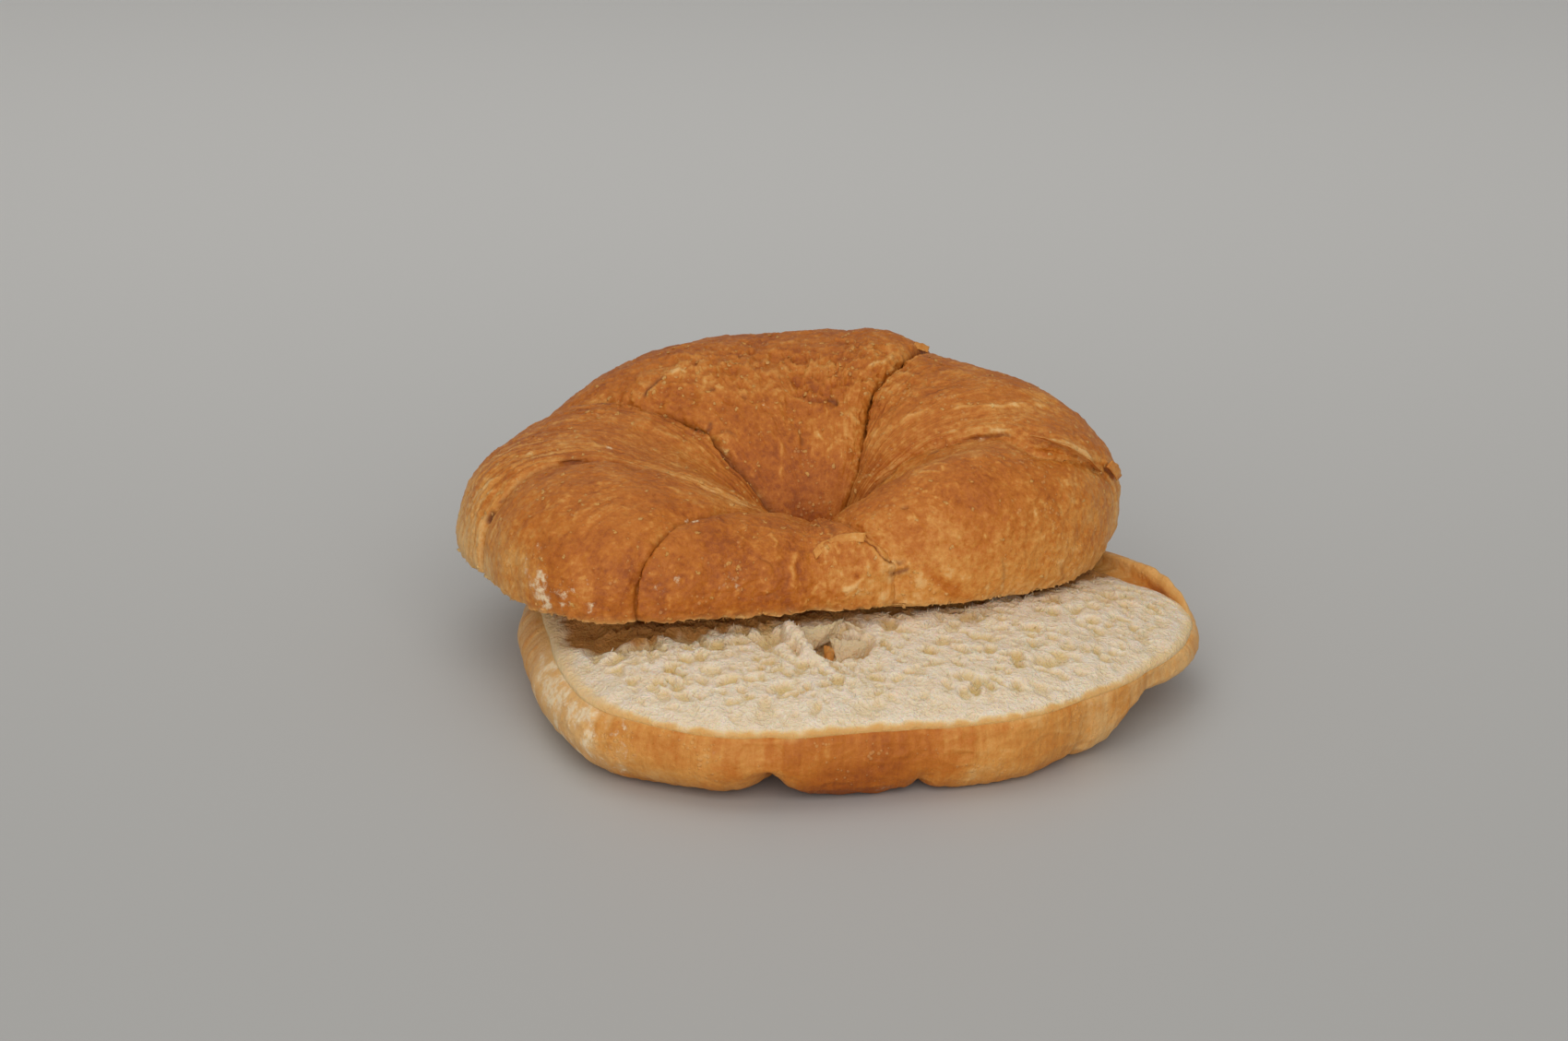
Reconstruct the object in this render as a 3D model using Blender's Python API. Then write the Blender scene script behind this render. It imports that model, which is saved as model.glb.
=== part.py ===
"""A round croissant, sliced level into two halves that lie askew on each other.

The dough was rolled up and curled until its two horns met at the front, so it is a ring with a
pinched navel. Each half is modelled on a polar grid: columns go round the ring and follow the
grooves between the wraps of dough, and rows follow the half's profile from its middle to its rim.
X points right, Y back and Z up. Sizes are in millimetres until a mesh is made. The origin is the
middle of the underside of the box round both halves.
"""
import math

import bmesh
import bpy
import numpy as np

MM = 0.001

# The top half, in its own frame: the cut is at z = 0 and the navel opens upwards.
TOP_NAVEL = (3.0, 0.0)           # middle of the navel in plan
TOP_TILT = (-3.1, 0.6)           # degrees about X and Y: it lies back, its right side a bit lower
TOP_CUT_HEIGHT = 19.3            # height of the cut above the surface, under the navel
TOP_NAVEL_FLOOR = 5.0            # floor of the navel above the cut
TOP_NAVEL_SLIT = (9.0, 4.0)      # half length and half width of that floor

# Rim of the top half round the navel, as (angle in degrees, radius). The front is flattened
# where the horns meet.
TOP_RIM = [(12, 61.8), (40, 60.2), (65, 62.0), (90, 63.0), (115, 66.5), (140, 69.5), (160, 70.4),
           (179, 70.6), (193, 66.0), (205, 63.5), (219, 60.5), (229, 52.5), (242, 40.5), (258, 33.5),
           (290, 29.0), (323, 37.0), (344, 47.0), (357, 54.5)]

# Crest of the ring round the navel, as (angle, height above the cut).
TOP_CREST = [(5, 28.0), (14, 29.4), (30, 32.4), (46, 33.0), (57, 33.6), (66, 36.2), (72, 37.0),
             (85, 36.2), (104, 34.9), (120, 34.4), (132, 33.0), (142, 30.4), (151, 27.0), (160, 25.0),
             (180, 23.0), (205, 22.0), (230, 17.5), (262, 14.5), (300, 18.0), (335, 25.0)]

# Wraps of dough round the top half, counter-clockwise from the right. A wrap starts at its groove,
# which runs from the navel to the rim through five angles, a quarter of the way apart. "lips" say
# how steeply the wrap ends at that groove and at the next one: 1 is a flap that lies over its
# neighbour, 0 tucks in under it.
TOP_WRAPS = [
    dict(name="right", groove=(30, 16, 5.5, -3.5, 9), depth=3.0, lips=(0.9, 0.1), crest_at=0.60,
         widest=10, undercut=0.06),
    dict(name="rear", groove=(43, 63.5, 63.5, 62.5, 64), depth=4.5, lips=(0.9, 0.5), crest_at=0.63,
         widest=8, undercut=0.05),
    dict(name="left rear", groove=(161, 150.5, 150, 151, 153), depth=3.4, lips=(0.4, 0.6),
         crest_at=0.58, widest=4, undercut=0.02),
    dict(name="left front", groove=(234, 216.5, 189.5, 187, 191), depth=2.4, lips=(0.2, 0.2),
         crest_at=0.58, widest=3, undercut=0.01),
    dict(name="front", groove=(248, 234, 228, 227.5, 228.5), depth=2.4, lips=(0.5, 0.1),
         crest_at=0.52, widest=4, undercut=0.02),
    dict(name="horn tip", groove=(264, 262, 262, 264, 268), depth=0.8, lips=(0.2, 0.9),
         crest_at=0.53, widest=4, undercut=0.02),
    dict(name="right front", groove=(272, 274, 279, 288, 300), depth=2.6, lips=(0.2, 0.1),
         crest_at=0.56, widest=7, undercut=0.05),
]
TOP_INNER_ROUND = 1.7            # exponent of the profile from navel to crest; 2 is an ellipse
TOP_OUTER_ROUND = 2.15           # the same from crest to rim

# The bottom half, in its own frame: it stands on z = 0 and its crumb faces up. Round its middle,
BASE_MIDDLE = (9.5, -15.0)
# (angle, radius of the cut edge),
BASE_RIM = [(3, 65.5), (13, 64.3), (23, 61.0), (33, 58.0), (60, 54.5), (90, 54.0), (120, 58.0),
            (150, 62.0), (172, 61.0), (191, 58.0), (204, 59.5), (223, 62.5), (234, 61.0),
            (252, 57.5), (270, 51.0), (292, 51.0), (306, 53.0), (321, 54.5), (339, 59.0), (353, 63.5)]
# (angle, how far the wall bulges past the cut edge, share of that radius that touches down),
BASE_WALL = [(8, 1.2, 0.80), (40, 1.5, 0.84), (90, 2.0, 0.86), (150, 3.5, 0.85), (190, 4.0, 0.85),
             (207, 3.5, 0.86), (225, 2.5, 0.87), (245, 1.2, 0.84), (272, 1.2, 0.91),
             (295, 1.2, 0.91), (325, 0.3, 0.87), (337, 0.0, 0.80), (350, 1.0, 0.79)]
# (angle, height of the underside: the right end is clear of the surface),
BASE_LIFT = [(0, 5.5), (12, 5.5), (28, 4.0), (45, 1.0), (60, 0.0), (120, 0.0), (200, 0.0),
             (280, 0.0), (328, 0.0), (336, 4.0), (346, 5.5)]
# and grooves between the wraps, as (angle, depth).
BASE_GROOVES = [(-22, 2.0), (35, 1.5), (75, 1.0), (125, 1.0), (180, 1.0), (212, 0.8), (254, 6.0),
                (284, 2.2), (320, 1.2)]
BASE_GROOVE_LEFT = (0.6, 0.25)   # shares of a groove's depth that are left at the foot and the edge
BASE_FLAT = 0.45                 # share of the rim's radius inside which the underside is flat
BASE_WIDEST = 7.5                # height at which the wall bulges most
BASE_RIM_HEIGHT = 14.0           # top of the crust at the front
BASE_REAR_RISE = 2.6             # how much higher it is at the rear
BASE_CRUMB_TOP = 18.6            # top of the domed crumb
BASE_CRUMB_DOME = 5              # exponent of the dome: the higher, the flatter its middle
BASE_CRUST = 1.2                 # thickness of the crust at the cut
BASE_CRUST_WALL = (2.5, 2.0)     # at the right rear the crust stands higher, the crumb lies lower,
BASE_CRUST_WALL_AT = (15, 38)    # round this angle and over this reach each way
BASE_GAP = 0.6                   # least gap between the crumb and the cut face that lies on it

# Torn pit in the crumb, where the cut went through the bottom of the navel.
PIT_MIDDLE = (5.5, -37.0)
PIT_SIZE = (8.5, 9.5)
PIT_DEPTH = 3.5

FLAP_REACH = 0.015               # share of a wrap's width in which a flap's edge rises
TUCK_REACH = (0.04, 0.18)        # the same for an edge that tucks in: half of it, and the rest
COLUMNS_PER_WRAP = 14
COLUMNS_PER_LOBE = 11
CRUMB_ROWS = (0.02, 0.05, 0.09, 0.15, 0.23, 0.33, 0.44, 0.55, 0.65, 0.74, 0.82, 0.9, 0.96)


def smooth(x):
    """Ease from 0 to 1."""
    x = np.clip(x, 0.0, 1.0)
    return float(x * x * (3 - 2 * x))


def round_the_ring(table, column, angle):
    """Read a column of a table of (angle, value, ...) rows, on a smooth curve that closes."""
    rows = sorted((row[0] % 360, row[column]) for row in table)
    rows = [(a - 360, v) for a, v in rows[-2:]] + rows + [(a + 360, v) for a, v in rows[:2]]
    knots, values = np.array(rows, float).T
    slopes = np.gradient(values, knots)
    angle %= 360
    i = int(np.searchsorted(knots, angle, side="right")) - 1
    span = knots[i + 1] - knots[i]
    t = (angle - knots[i]) / span
    return float((2 * t**3 - 3 * t**2 + 1) * values[i] + (t**3 - 2 * t**2 + t) * span * slopes[i]
                 + (3 * t**2 - 2 * t**3) * values[i + 1] + (t**3 - t**2) * span * slopes[i + 1])


def rise(x, lip):
    """How far a wrap has risen out of its groove at share x of its width."""
    steep = 1 - math.exp(-x / FLAP_REACH)
    gentle = 1 - 0.5 * math.exp(-x / TUCK_REACH[0]) - 0.5 * math.exp(-x / TUCK_REACH[1])
    return lip * steep + (1 - lip) * gentle


def shares(count):
    """Column places across one wrap, 0 to just under 1, closer together at the grooves."""
    x = np.arange(count) / count
    return 0.35 * x + 0.65 * (0.5 - 0.5 * np.cos(math.pi * x))


def groove_angle(angles, out):
    """Angle of a groove at share out of the way from navel to rim, on a smooth curve."""
    quarters = len(angles) - 1
    slopes = np.gradient(angles)
    i = min(int(out * quarters), quarters - 1)
    t = out * quarters - i
    return float((2 * t**3 - 3 * t**2 + 1) * angles[i] + (t**3 - 2 * t**2 + t) * slopes[i]
                 + (3 * t**2 - 2 * t**3) * angles[i + 1] + (t**3 - t**2) * slopes[i + 1])


def skin(name, loops, pole, material):
    """Closed mesh object from loops of points: the first is shut flat, the last by a point."""
    mesh = bpy.data.meshes.new(name)
    bm = bmesh.new()
    rings = [[bm.verts.new(tuple(c * MM for c in point)) for point in loop] for loop in loops]
    for ring, following in zip(rings, rings[1:]):
        for i in range(len(ring)):
            j = (i + 1) % len(ring)
            bm.faces.new((ring[i], ring[j], following[j], following[i]))
    bm.faces.new(rings[0])
    tip = bm.verts.new(tuple(c * MM for c in pole))
    for i in range(len(rings[-1])):
        bm.faces.new((rings[-1][i], rings[-1][(i + 1) % len(rings[-1])], tip))
    bmesh.ops.recalc_face_normals(bm, faces=bm.faces)
    bm.to_mesh(mesh)
    bm.free()
    mesh.shade_smooth()
    mesh.materials.append(material)
    obj = bpy.data.objects.new(name, mesh)
    bpy.context.collection.objects.link(obj)
    return obj


def plain_material(name, colour, roughness):
    """Principled material of one colour."""
    material = bpy.data.materials.new(name)
    material.use_nodes = True
    shader = material.node_tree.nodes["Principled BSDF"]
    shader.inputs["Base Color"].default_value = (*colour, 1.0)
    shader.inputs["Roughness"].default_value = roughness
    shader.inputs["Metallic"].default_value = 0.0
    return material


def top_value(key, angle):
    """A wrap's value, blended smoothly between the middles of the wraps."""
    starts = [wrap["groove"][-1] for wrap in TOP_WRAPS]
    ends = starts[1:] + [starts[0] + 360]
    table = [((a + b) / 2, wrap[key]) for a, b, wrap in zip(starts, ends, TOP_WRAPS)]
    return round_the_ring(table, 1, angle)


def top_point(index, share, part, place):
    """Point of the top half's crust: at a share of a wrap's width and a place on its profile."""
    wrap = TOP_WRAPS[index]
    following = TOP_WRAPS[(index + 1) % len(TOP_WRAPS)]
    turn = 360 if index == len(TOP_WRAPS) - 1 else 0
    next_groove = [a + turn for a in following["groove"]]

    crest_at = top_value("crest_at", (1 - share) * wrap["groove"][-1] + share * next_groove[-1])
    swing = math.pi / 2 * (place if part == "inner" else 1 - place)
    if part == "inner":
        out = crest_at * (1 - math.cos(swing) ** (2 / TOP_INNER_ROUND))
    elif part == "outer":
        out = crest_at + (1 - crest_at) * math.cos(swing) ** (2 / TOP_OUTER_ROUND)
    else:
        out = 1.0
    angle = (1 - share) * groove_angle(wrap["groove"], out) + share * groove_angle(next_groove, out)
    a = math.radians(angle)
    slit = 1 / math.hypot(math.cos(a) / TOP_NAVEL_SLIT[0], math.sin(a) / TOP_NAVEL_SLIT[1])
    rim = round_the_ring(TOP_RIM, 1, angle)
    crest = round_the_ring(TOP_CREST, 1, angle)
    widest = top_value("widest", angle)

    if part == "inner":
        height = TOP_NAVEL_FLOOR + (crest - TOP_NAVEL_FLOOR) * math.sin(swing) ** (2 / TOP_INNER_ROUND)
    elif part == "outer":
        height = widest + (crest - widest) * math.sin(swing) ** (2 / TOP_OUTER_ROUND)
    else:
        height = widest * (1 - place)
        out = 1 - top_value("undercut", angle) * place**2
    radius = slit + (rim - slit) * out

    # The grooves are cut square to the skin, less deep at the navel's floor and at the rim.
    sunk = 1 - rise(share, wrap["lips"][0]) * rise(1 - share, wrap["lips"][1])
    depth = (1 - share) * wrap["depth"] + share * following["depth"]
    depth *= sunk * np.interp(out, (0.0, 0.1, 0.6, 1.0), (0.3, 1.0, 1.0, 0.7))
    core_radius = slit + crest_at * (rim - slit)
    outward = math.atan2(height - 0.3 * crest, radius - core_radius) if part != "under" else 0.0
    radius -= depth * math.cos(outward)
    height -= depth * math.sin(outward)
    return (TOP_NAVEL[0] + radius * math.cos(a), TOP_NAVEL[1] + radius * math.sin(a), height)


def make_top_half(material):
    """Top half: cut face, undercut, outer side, crest and navel."""
    rows = [("under", place) for place in (1.0, 0.67, 0.33)]
    rows += [("outer", place) for place in np.linspace(1, 0, 11)]
    rows += [("inner", place) for place in np.linspace(1, 0, 10)[1:]]
    loops = [[top_point(index, share, part, place)
              for index in range(len(TOP_WRAPS)) for share in shares(COLUMNS_PER_WRAP)]
             for part, place in rows]
    floor = min(point[2] for point in loops[-1])
    top = skin("top_half", loops, (*TOP_NAVEL, floor), material)
    top.rotation_euler = (math.radians(TOP_TILT[0]), math.radians(TOP_TILT[1]), 0)
    top.location.z = TOP_CUT_HEIGHT * MM
    return top


def top_cut_height(x, y):
    """Height of the top half's cut face over a point of the bottom half."""
    return (TOP_CUT_HEIGHT + math.tan(math.radians(TOP_TILT[0])) * y
            - math.tan(math.radians(TOP_TILT[1])) * x)


def base_point(index, share, part, place):
    """Point of the bottom half: its underside, its wall, its lip or its crumb."""
    start, start_depth = BASE_GROOVES[index]
    end, end_depth = BASE_GROOVES[(index + 1) % len(BASE_GROOVES)]
    end += 360 if index == len(BASE_GROOVES) - 1 else 0
    angle = (1 - share) * start + share * end
    rim = round_the_ring(BASE_RIM, 1, angle)
    bulge = round_the_ring(BASE_WALL, 1, angle)
    foot = round_the_ring(BASE_WALL, 2, angle) * (rim + bulge)
    lift = max(0.0, round_the_ring(BASE_LIFT, 1, angle))
    dip = 1 - rise(share, 0.2) * rise(1 - share, 0.2)
    dip *= (1 - share) * start_depth + share * end_depth

    foot_dip, edge_dip = (dip * left for left in BASE_GROOVE_LEFT)

    a = math.radians(angle)
    wall_angle, wall_reach = BASE_CRUST_WALL_AT
    wall = smooth(1 - abs((angle - wall_angle + 180) % 360 - 180) / wall_reach)
    edge_height = BASE_RIM_HEIGHT + BASE_REAR_RISE * smooth((math.sin(a) + 0.2) / 0.8)
    rim_height = edge_height + BASE_CRUST_WALL[0] * wall
    edge_height -= BASE_CRUST_WALL[1] * wall
    widest = BASE_WIDEST + 0.5 * lift
    if part == "under":
        radius = BASE_FLAT * rim * (1 - place) + (foot - foot_dip) * place
        height = (lift + dip) * smooth(place)
    elif part == "wall":
        swing = place * math.pi / 2
        radius = foot + (rim + bulge - foot) * math.sin(swing)
        radius -= foot_dip * (1 - place) + edge_dip * place
        height = lift + dip + (widest - lift - dip) * (1 - math.cos(swing))
    elif part == "lip":
        radius = rim + bulge * (1 - place**2) - edge_dip
        height = widest + (rim_height - widest) * place
    else:
        radius = (1 - place) * (rim - edge_dip) - BASE_CRUST * min(1.0, place / CRUMB_ROWS[1])
        height = BASE_CRUMB_TOP - (BASE_CRUMB_TOP - edge_height) * (1 - place) ** BASE_CRUMB_DOME
    x = BASE_MIDDLE[0] + radius * math.cos(a)
    y = BASE_MIDDLE[1] + radius * math.sin(a)
    if part in ("lip", "crumb"):
        height = min(height, top_cut_height(x, y) - BASE_GAP)
    if part == "crumb":
        away = math.hypot((x - PIT_MIDDLE[0]) / PIT_SIZE[0], (y - PIT_MIDDLE[1]) / PIT_SIZE[1])
        height -= PIT_DEPTH * smooth(1.4 * (1 - away))
    return (x, y, height)


def make_bottom_half(material):
    """Bottom half: flat underside, notched wall, lip and domed crumb."""
    rows = [("under", place) for place in (0.0, 0.4, 0.7, 1.0)]
    rows += [("wall", place) for place in (0.25, 0.5, 0.75, 1.0)]
    rows += [("lip", place) for place in (0.5, 1.0)]
    rows += [("crumb", place) for place in CRUMB_ROWS]
    loops = [[base_point(index, share, part, place)
              for index in range(len(BASE_GROOVES)) for share in shares(COLUMNS_PER_LOBE)]
             for part, place in rows]
    return skin("bottom_half", loops, (*BASE_MIDDLE, BASE_CRUMB_TOP), material)


def centre_on_origin(pieces):
    """Move the pieces together so that the middle of their box's underside is the origin."""
    bpy.context.view_layer.update()
    corners = np.array([piece.matrix_world @ v.co for piece in pieces for v in piece.data.vertices])
    low = corners.min(axis=0)
    high = corners.max(axis=0)
    for piece in pieces:
        piece.location.x -= (low[0] + high[0]) / 2
        piece.location.y -= (low[1] + high[1]) / 2
        piece.location.z -= low[2]


for old in list(bpy.data.objects):
    bpy.data.objects.remove(old, do_unlink=True)

bottom_half = make_bottom_half(plain_material("pale crust and crumb", (0.72, 0.50, 0.24), 0.7))
top_half = make_top_half(plain_material("golden crust", (0.55, 0.24, 0.07), 0.55))
centre_on_origin([bottom_half, top_half])
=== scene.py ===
"""Looks of a round croissant, sliced level into two halves that lie askew on each other.

Both halves keep the form of the solids: the same named stations are read on a finer grid, and the
relief of the baked dough is added square to the skin. Sizes are in millimetres until a mesh is
made. X points right, Y back and Z up.
"""
import itertools
import math

import bpy
import numpy as np
from mathutils import Matrix, Vector


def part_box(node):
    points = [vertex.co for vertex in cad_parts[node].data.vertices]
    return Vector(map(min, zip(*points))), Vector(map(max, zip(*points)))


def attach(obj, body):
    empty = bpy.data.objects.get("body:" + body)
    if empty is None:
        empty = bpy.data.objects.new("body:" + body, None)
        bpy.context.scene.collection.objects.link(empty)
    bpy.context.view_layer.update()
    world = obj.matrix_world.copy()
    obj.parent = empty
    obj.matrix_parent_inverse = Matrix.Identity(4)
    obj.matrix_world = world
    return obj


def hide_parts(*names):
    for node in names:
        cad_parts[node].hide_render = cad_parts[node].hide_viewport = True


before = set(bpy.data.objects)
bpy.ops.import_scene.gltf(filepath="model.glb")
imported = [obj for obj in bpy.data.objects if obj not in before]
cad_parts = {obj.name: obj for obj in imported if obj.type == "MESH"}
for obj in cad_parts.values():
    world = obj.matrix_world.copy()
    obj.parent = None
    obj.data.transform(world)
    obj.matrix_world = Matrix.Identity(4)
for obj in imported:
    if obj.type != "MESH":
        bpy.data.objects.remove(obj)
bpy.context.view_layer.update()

MM = 0.001

# ---------------------------------------------------------------------------------------------
# Crust of the bottom half: the underside of the baked ring, light brown and floury where it lay
# on the tray, with notches where one wrap of dough ends and the next begins. It is a shallow dish
# round the crumb; only at the right rear does its cut edge stand up clear of it.
# ---------------------------------------------------------------------------------------------

BASE_MIDDLE = (9.5, -15.0)
# Round that middle: (angle in degrees, radius of the cut edge),
BASE_RIM = [(3, 65.5), (13, 64.3), (23, 61.0), (33, 58.0), (60, 54.5), (90, 54.0), (120, 58.0),
            (150, 62.0), (172, 61.0), (191, 58.0), (204, 59.5), (223, 62.5), (234, 61.0),
            (252, 57.5), (270, 51.0), (292, 51.0), (306, 53.0), (321, 54.5), (339, 59.0), (353, 63.5)]
# (angle, how far the wall bulges past the cut edge, share of that radius that touches down),
BASE_WALL = [(8, 1.2, 0.80), (40, 1.5, 0.84), (90, 2.0, 0.86), (150, 3.5, 0.85), (190, 4.0, 0.85),
             (207, 3.5, 0.86), (225, 2.5, 0.87), (245, 1.2, 0.84), (272, 1.2, 0.91),
             (295, 1.2, 0.91), (325, 0.3, 0.87), (337, 0.0, 0.80), (350, 1.0, 0.79)]
# (angle, height of the underside),
BASE_LIFT = [(0, 5.5), (12, 5.5), (28, 4.0), (45, 1.0), (60, 0.0), (120, 0.0), (200, 0.0),
             (280, 0.0), (328, 0.0), (336, 4.0), (346, 5.5)]
# grooves between the wraps, as (angle, depth),
BASE_GROOVES = [(-22, 2.0), (35, 1.5), (75, 1.0), (125, 1.0), (180, 1.0), (212, 0.8), (254, 6.0),
                (284, 2.2), (320, 1.2)]
# and how browned the wall is, from 0 to 1, as (angle, at the cut, at the foot).
BASE_BAKE = [(0, 0.22, 0.20), (60, 0.45, 0.45), (150, 0.40, 0.45), (195, 0.05, 0.08), (215, 0.03, 0.10),
             (228, 0.34, 0.28), (246, 0.54, 0.44), (256, 0.52, 0.56), (266, 0.80, 0.84), (280, 0.78, 0.76),
             (295, 0.42, 0.36), (318, 0.26, 0.20), (336, 0.14, 0.14), (348, 0.10, 0.15)]
BASE_GROOVE_LEFT = (0.6, 0.25)   # shares of a groove's depth that are left at the foot and the edge
BASE_FLAT = 0.45                 # share of the rim's radius inside which the underside is flat
BASE_WIDEST = 7.5                # height at which the wall bulges most
BASE_RIM_HEIGHT = 14.0           # top of the crust at the front
BASE_REAR_RISE = 2.6             # how much higher it is at the rear
BASE_CRUST = 1.2                 # thickness of the crust at the cut
BASE_CRUST_WALL = (2.5, 3.4)     # at the right rear the crust stands higher, the crumb lies lower,
BASE_CRUST_WALL_AT = (27, 28)    # round this angle and over this reach each way,
BASE_CRUST_WALL_RAGGED = 0.6     # and its edge is this uneven
CUT_GAP = 0.6                    # least gap between the crumb and the cut face that lies on it
CUT_HEIGHT = 19.3                # height of the top half's cut face under its navel
CUT_TILT = (-3.1, 0.6)           # degrees about X and Y
LIP_ROUND = 0.6                  # how far the crust's rim is rounded off under the crumb's edge
BASE_COLUMNS = 820               # columns of the mesh round the crust
BASE_ROUND = 58                  # radius at which patterns that run round the wall have their size
# Relief of the wall, as (size of the lumps, height, seed),
BASE_LUMPS = [(15, 0.35, 1), (6, 0.22, 2), (2.4, 0.10, 3)]
# wrinkles, as (size of their net, seed),
BASE_WRINKLES = ((7, 7, 3.2), 4)
# and flour from the tray on the left, as (x, y, half length along X, along Y, strength).
FLOUR_PATCHES = [(-44, -47, 5, 9, 0.65), (-38, -57, 5, 5, 0.75), (-47, -36, 4, 7, 0.6), (-31, -63, 2, 3, 0.4)]


def smooth(x):
    """Ease from 0 to 1."""
    x = np.clip(x, 0.0, 1.0)
    return x * x * (3 - 2 * x)


def between_knots(t, value, slope, next_value, next_slope):
    """Cubic from one knot's value and slope to the next one's, at share t of the way."""
    return ((2 * t**3 - 3 * t**2 + 1) * value + (t**3 - 2 * t**2 + t) * slope
            + (3 * t**2 - 2 * t**3) * next_value + (t**3 - t**2) * next_slope)


def round_the_ring(table, column, angle):
    """Read a column of a table of (angle, value, ...) rows, on a smooth curve that closes."""
    rows = sorted((row[0] % 360, row[column]) for row in table)
    rows = [(a - 360, v) for a, v in rows[-2:]] + rows + [(a + 360, v) for a, v in rows[:2]]
    knots, values = np.array(rows, float).T
    slopes = np.gradient(values, knots)
    angle = np.asarray(angle, float) % 360
    i = np.searchsorted(knots, angle, side="right") - 1
    span = knots[i + 1] - knots[i]
    return between_knots((angle - knots[i]) / span, values[i], span * slopes[i], values[i + 1],
                         span * slopes[i + 1])


def shared_out(spans, columns):
    """Columns shared out among spans, closer at their ends: each one's span, and its share of it."""
    counts = np.round(spans / spans.sum() * columns).astype(int)
    x = np.concatenate([np.arange(n) / n for n in counts])
    return np.repeat(np.arange(len(spans)), counts), 0.6 * x + 0.4 * (0.5 - 0.5 * np.cos(math.pi * x))


def rise(x, lip, flap_reach=0.015, tuck_reach=(0.04, 0.18)):
    """How far a wrap has risen out of its groove at share x of its width: flaps rise steeply."""
    steep = 1 - np.exp(-x / flap_reach)
    gentle = 1 - 0.5 * np.exp(-x / tuck_reach[0]) - 0.5 * np.exp(-x / tuck_reach[1])
    return lip * steep + (1 - lip) * gentle


def notch(share, level):
    """Depth of the notches at a lobe's two ends: sharp at the underside, level 0, soft at the cut, 1."""
    start, end = (np.hypot(x, 0.07 * level) - 0.07 * level for x in (share, 1 - share))
    return 1 - rise(start, 0.2 * (1 - level)) * rise(end, 0.2 * (1 - level))


def hashed(cells, seed):
    """Whole number from 0 to 65535 for each cell of a 3-D grid."""
    h = cells[..., 0] * 73856093 ^ cells[..., 1] * 19349663 ^ cells[..., 2] * 83492791 ^ seed * 2654435761
    h = (h ^ (h >> 13)) * 1274126177
    return (h ^ (h >> 16)) & 65535


def noise(points, size, seed=0):
    """Smooth noise from about -1 to 1 whose lumps are about size apart; size may be three sizes."""
    p = np.asarray(points) / np.asarray(size, float)
    cell = np.floor(p).astype(np.int64)
    f = p - cell
    fade = f**3 * (f * (f * 6 - 15) + 10)
    total = np.zeros(p.shape[:-1])
    for corner in itertools.product((0, 1), repeat=3):
        h = hashed(cell + corner, seed)
        turn = h * (2 * math.pi / 65536)
        height = ((h * 40503) & 65535) / 32768 - 1
        flat = np.sqrt(1 - height * height)
        d = f - corner
        slope = d[..., 0] * flat * np.cos(turn) + d[..., 1] * flat * np.sin(turn) + d[..., 2] * height
        total += np.prod(np.where(corner, fade, 1 - fade), axis=-1) * slope
    return total * 1.7


def lumps(points, layers):
    """Sum of layers of noise, each as (size of the lumps, height, seed)."""
    return sum(height * noise(points, size, seed) for size, height, seed in layers)


def wobble(points, size, seeds):
    """Noise for each of the three directions, with a seed of its own."""
    return np.stack([noise(points, size, seed) for seed in seeds], axis=-1)


def ridges(points, size, seed=0):
    """Noise with sharp crests: 1 on the crests, falling to about 0."""
    return 1 - np.minimum(1, 2.2 * np.abs(noise(points, size, seed)))


def cells(points, size, seed=0):
    """Scattered middles, one to a cell: distance to the nearest, how close its wall is, its number."""
    p = np.asarray(points) / np.asarray(size, float)
    home = np.floor(p).astype(np.int64)
    nearest, second = np.full((2, *p.shape[:-1]), 9.0)
    number = np.zeros(p.shape[:-1])
    for step in itertools.product((-1, 0, 1), repeat=3):
        cell = home + step
        middle = cell + np.stack([hashed(cell, seed + k) / 65536 for k in (1, 2, 3)], axis=-1)
        away = np.linalg.norm(middle - p, axis=-1)
        closer = away < nearest
        second = np.where(closer, nearest, np.minimum(second, away))
        nearest = np.where(closer, away, nearest)
        number = np.where(closer, hashed(cell, seed + 4) / 65536, number)
    return nearest, np.exp(-((second - nearest) / 0.2)**2), number


def patches(x, y, spots):
    """Soft spots in plan, each as (x, y, half length along X, along Y, strength)."""
    return sum(s[4] * np.exp(-((x - s[0]) / s[2])**2 - ((y - s[1]) / s[3])**2) for s in spots)


def grid_normals(points):
    """Unit normals of a grid of points whose columns close."""
    across = np.roll(points, -1, axis=1) - np.roll(points, 1, axis=1)
    along = np.gradient(points, axis=0)
    normals = np.cross(along, across)
    return normals / np.maximum(np.linalg.norm(normals, axis=-1, keepdims=True), 1e-9)


def grid_faces(numbers):
    """Quads between neighbouring points of a grid of point numbers."""
    return np.stack([numbers[:-1, :-1], numbers[:-1, 1:], numbers[1:, 1:], numbers[1:, :-1]],
                    axis=-1).reshape(-1, 4).tolist()


def fan_faces(loop, tip):
    """Triangles from a closed loop of points to a tip."""
    return [(loop[i], loop[(i + 1) % len(loop)], tip) for i in range(len(loop))]


def around(middle, radius, angle):
    """Plan coordinates at a radius from a middle and an angle in degrees."""
    return middle[0] + radius * np.cos(np.radians(angle)), middle[1] + radius * np.sin(np.radians(angle))


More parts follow.
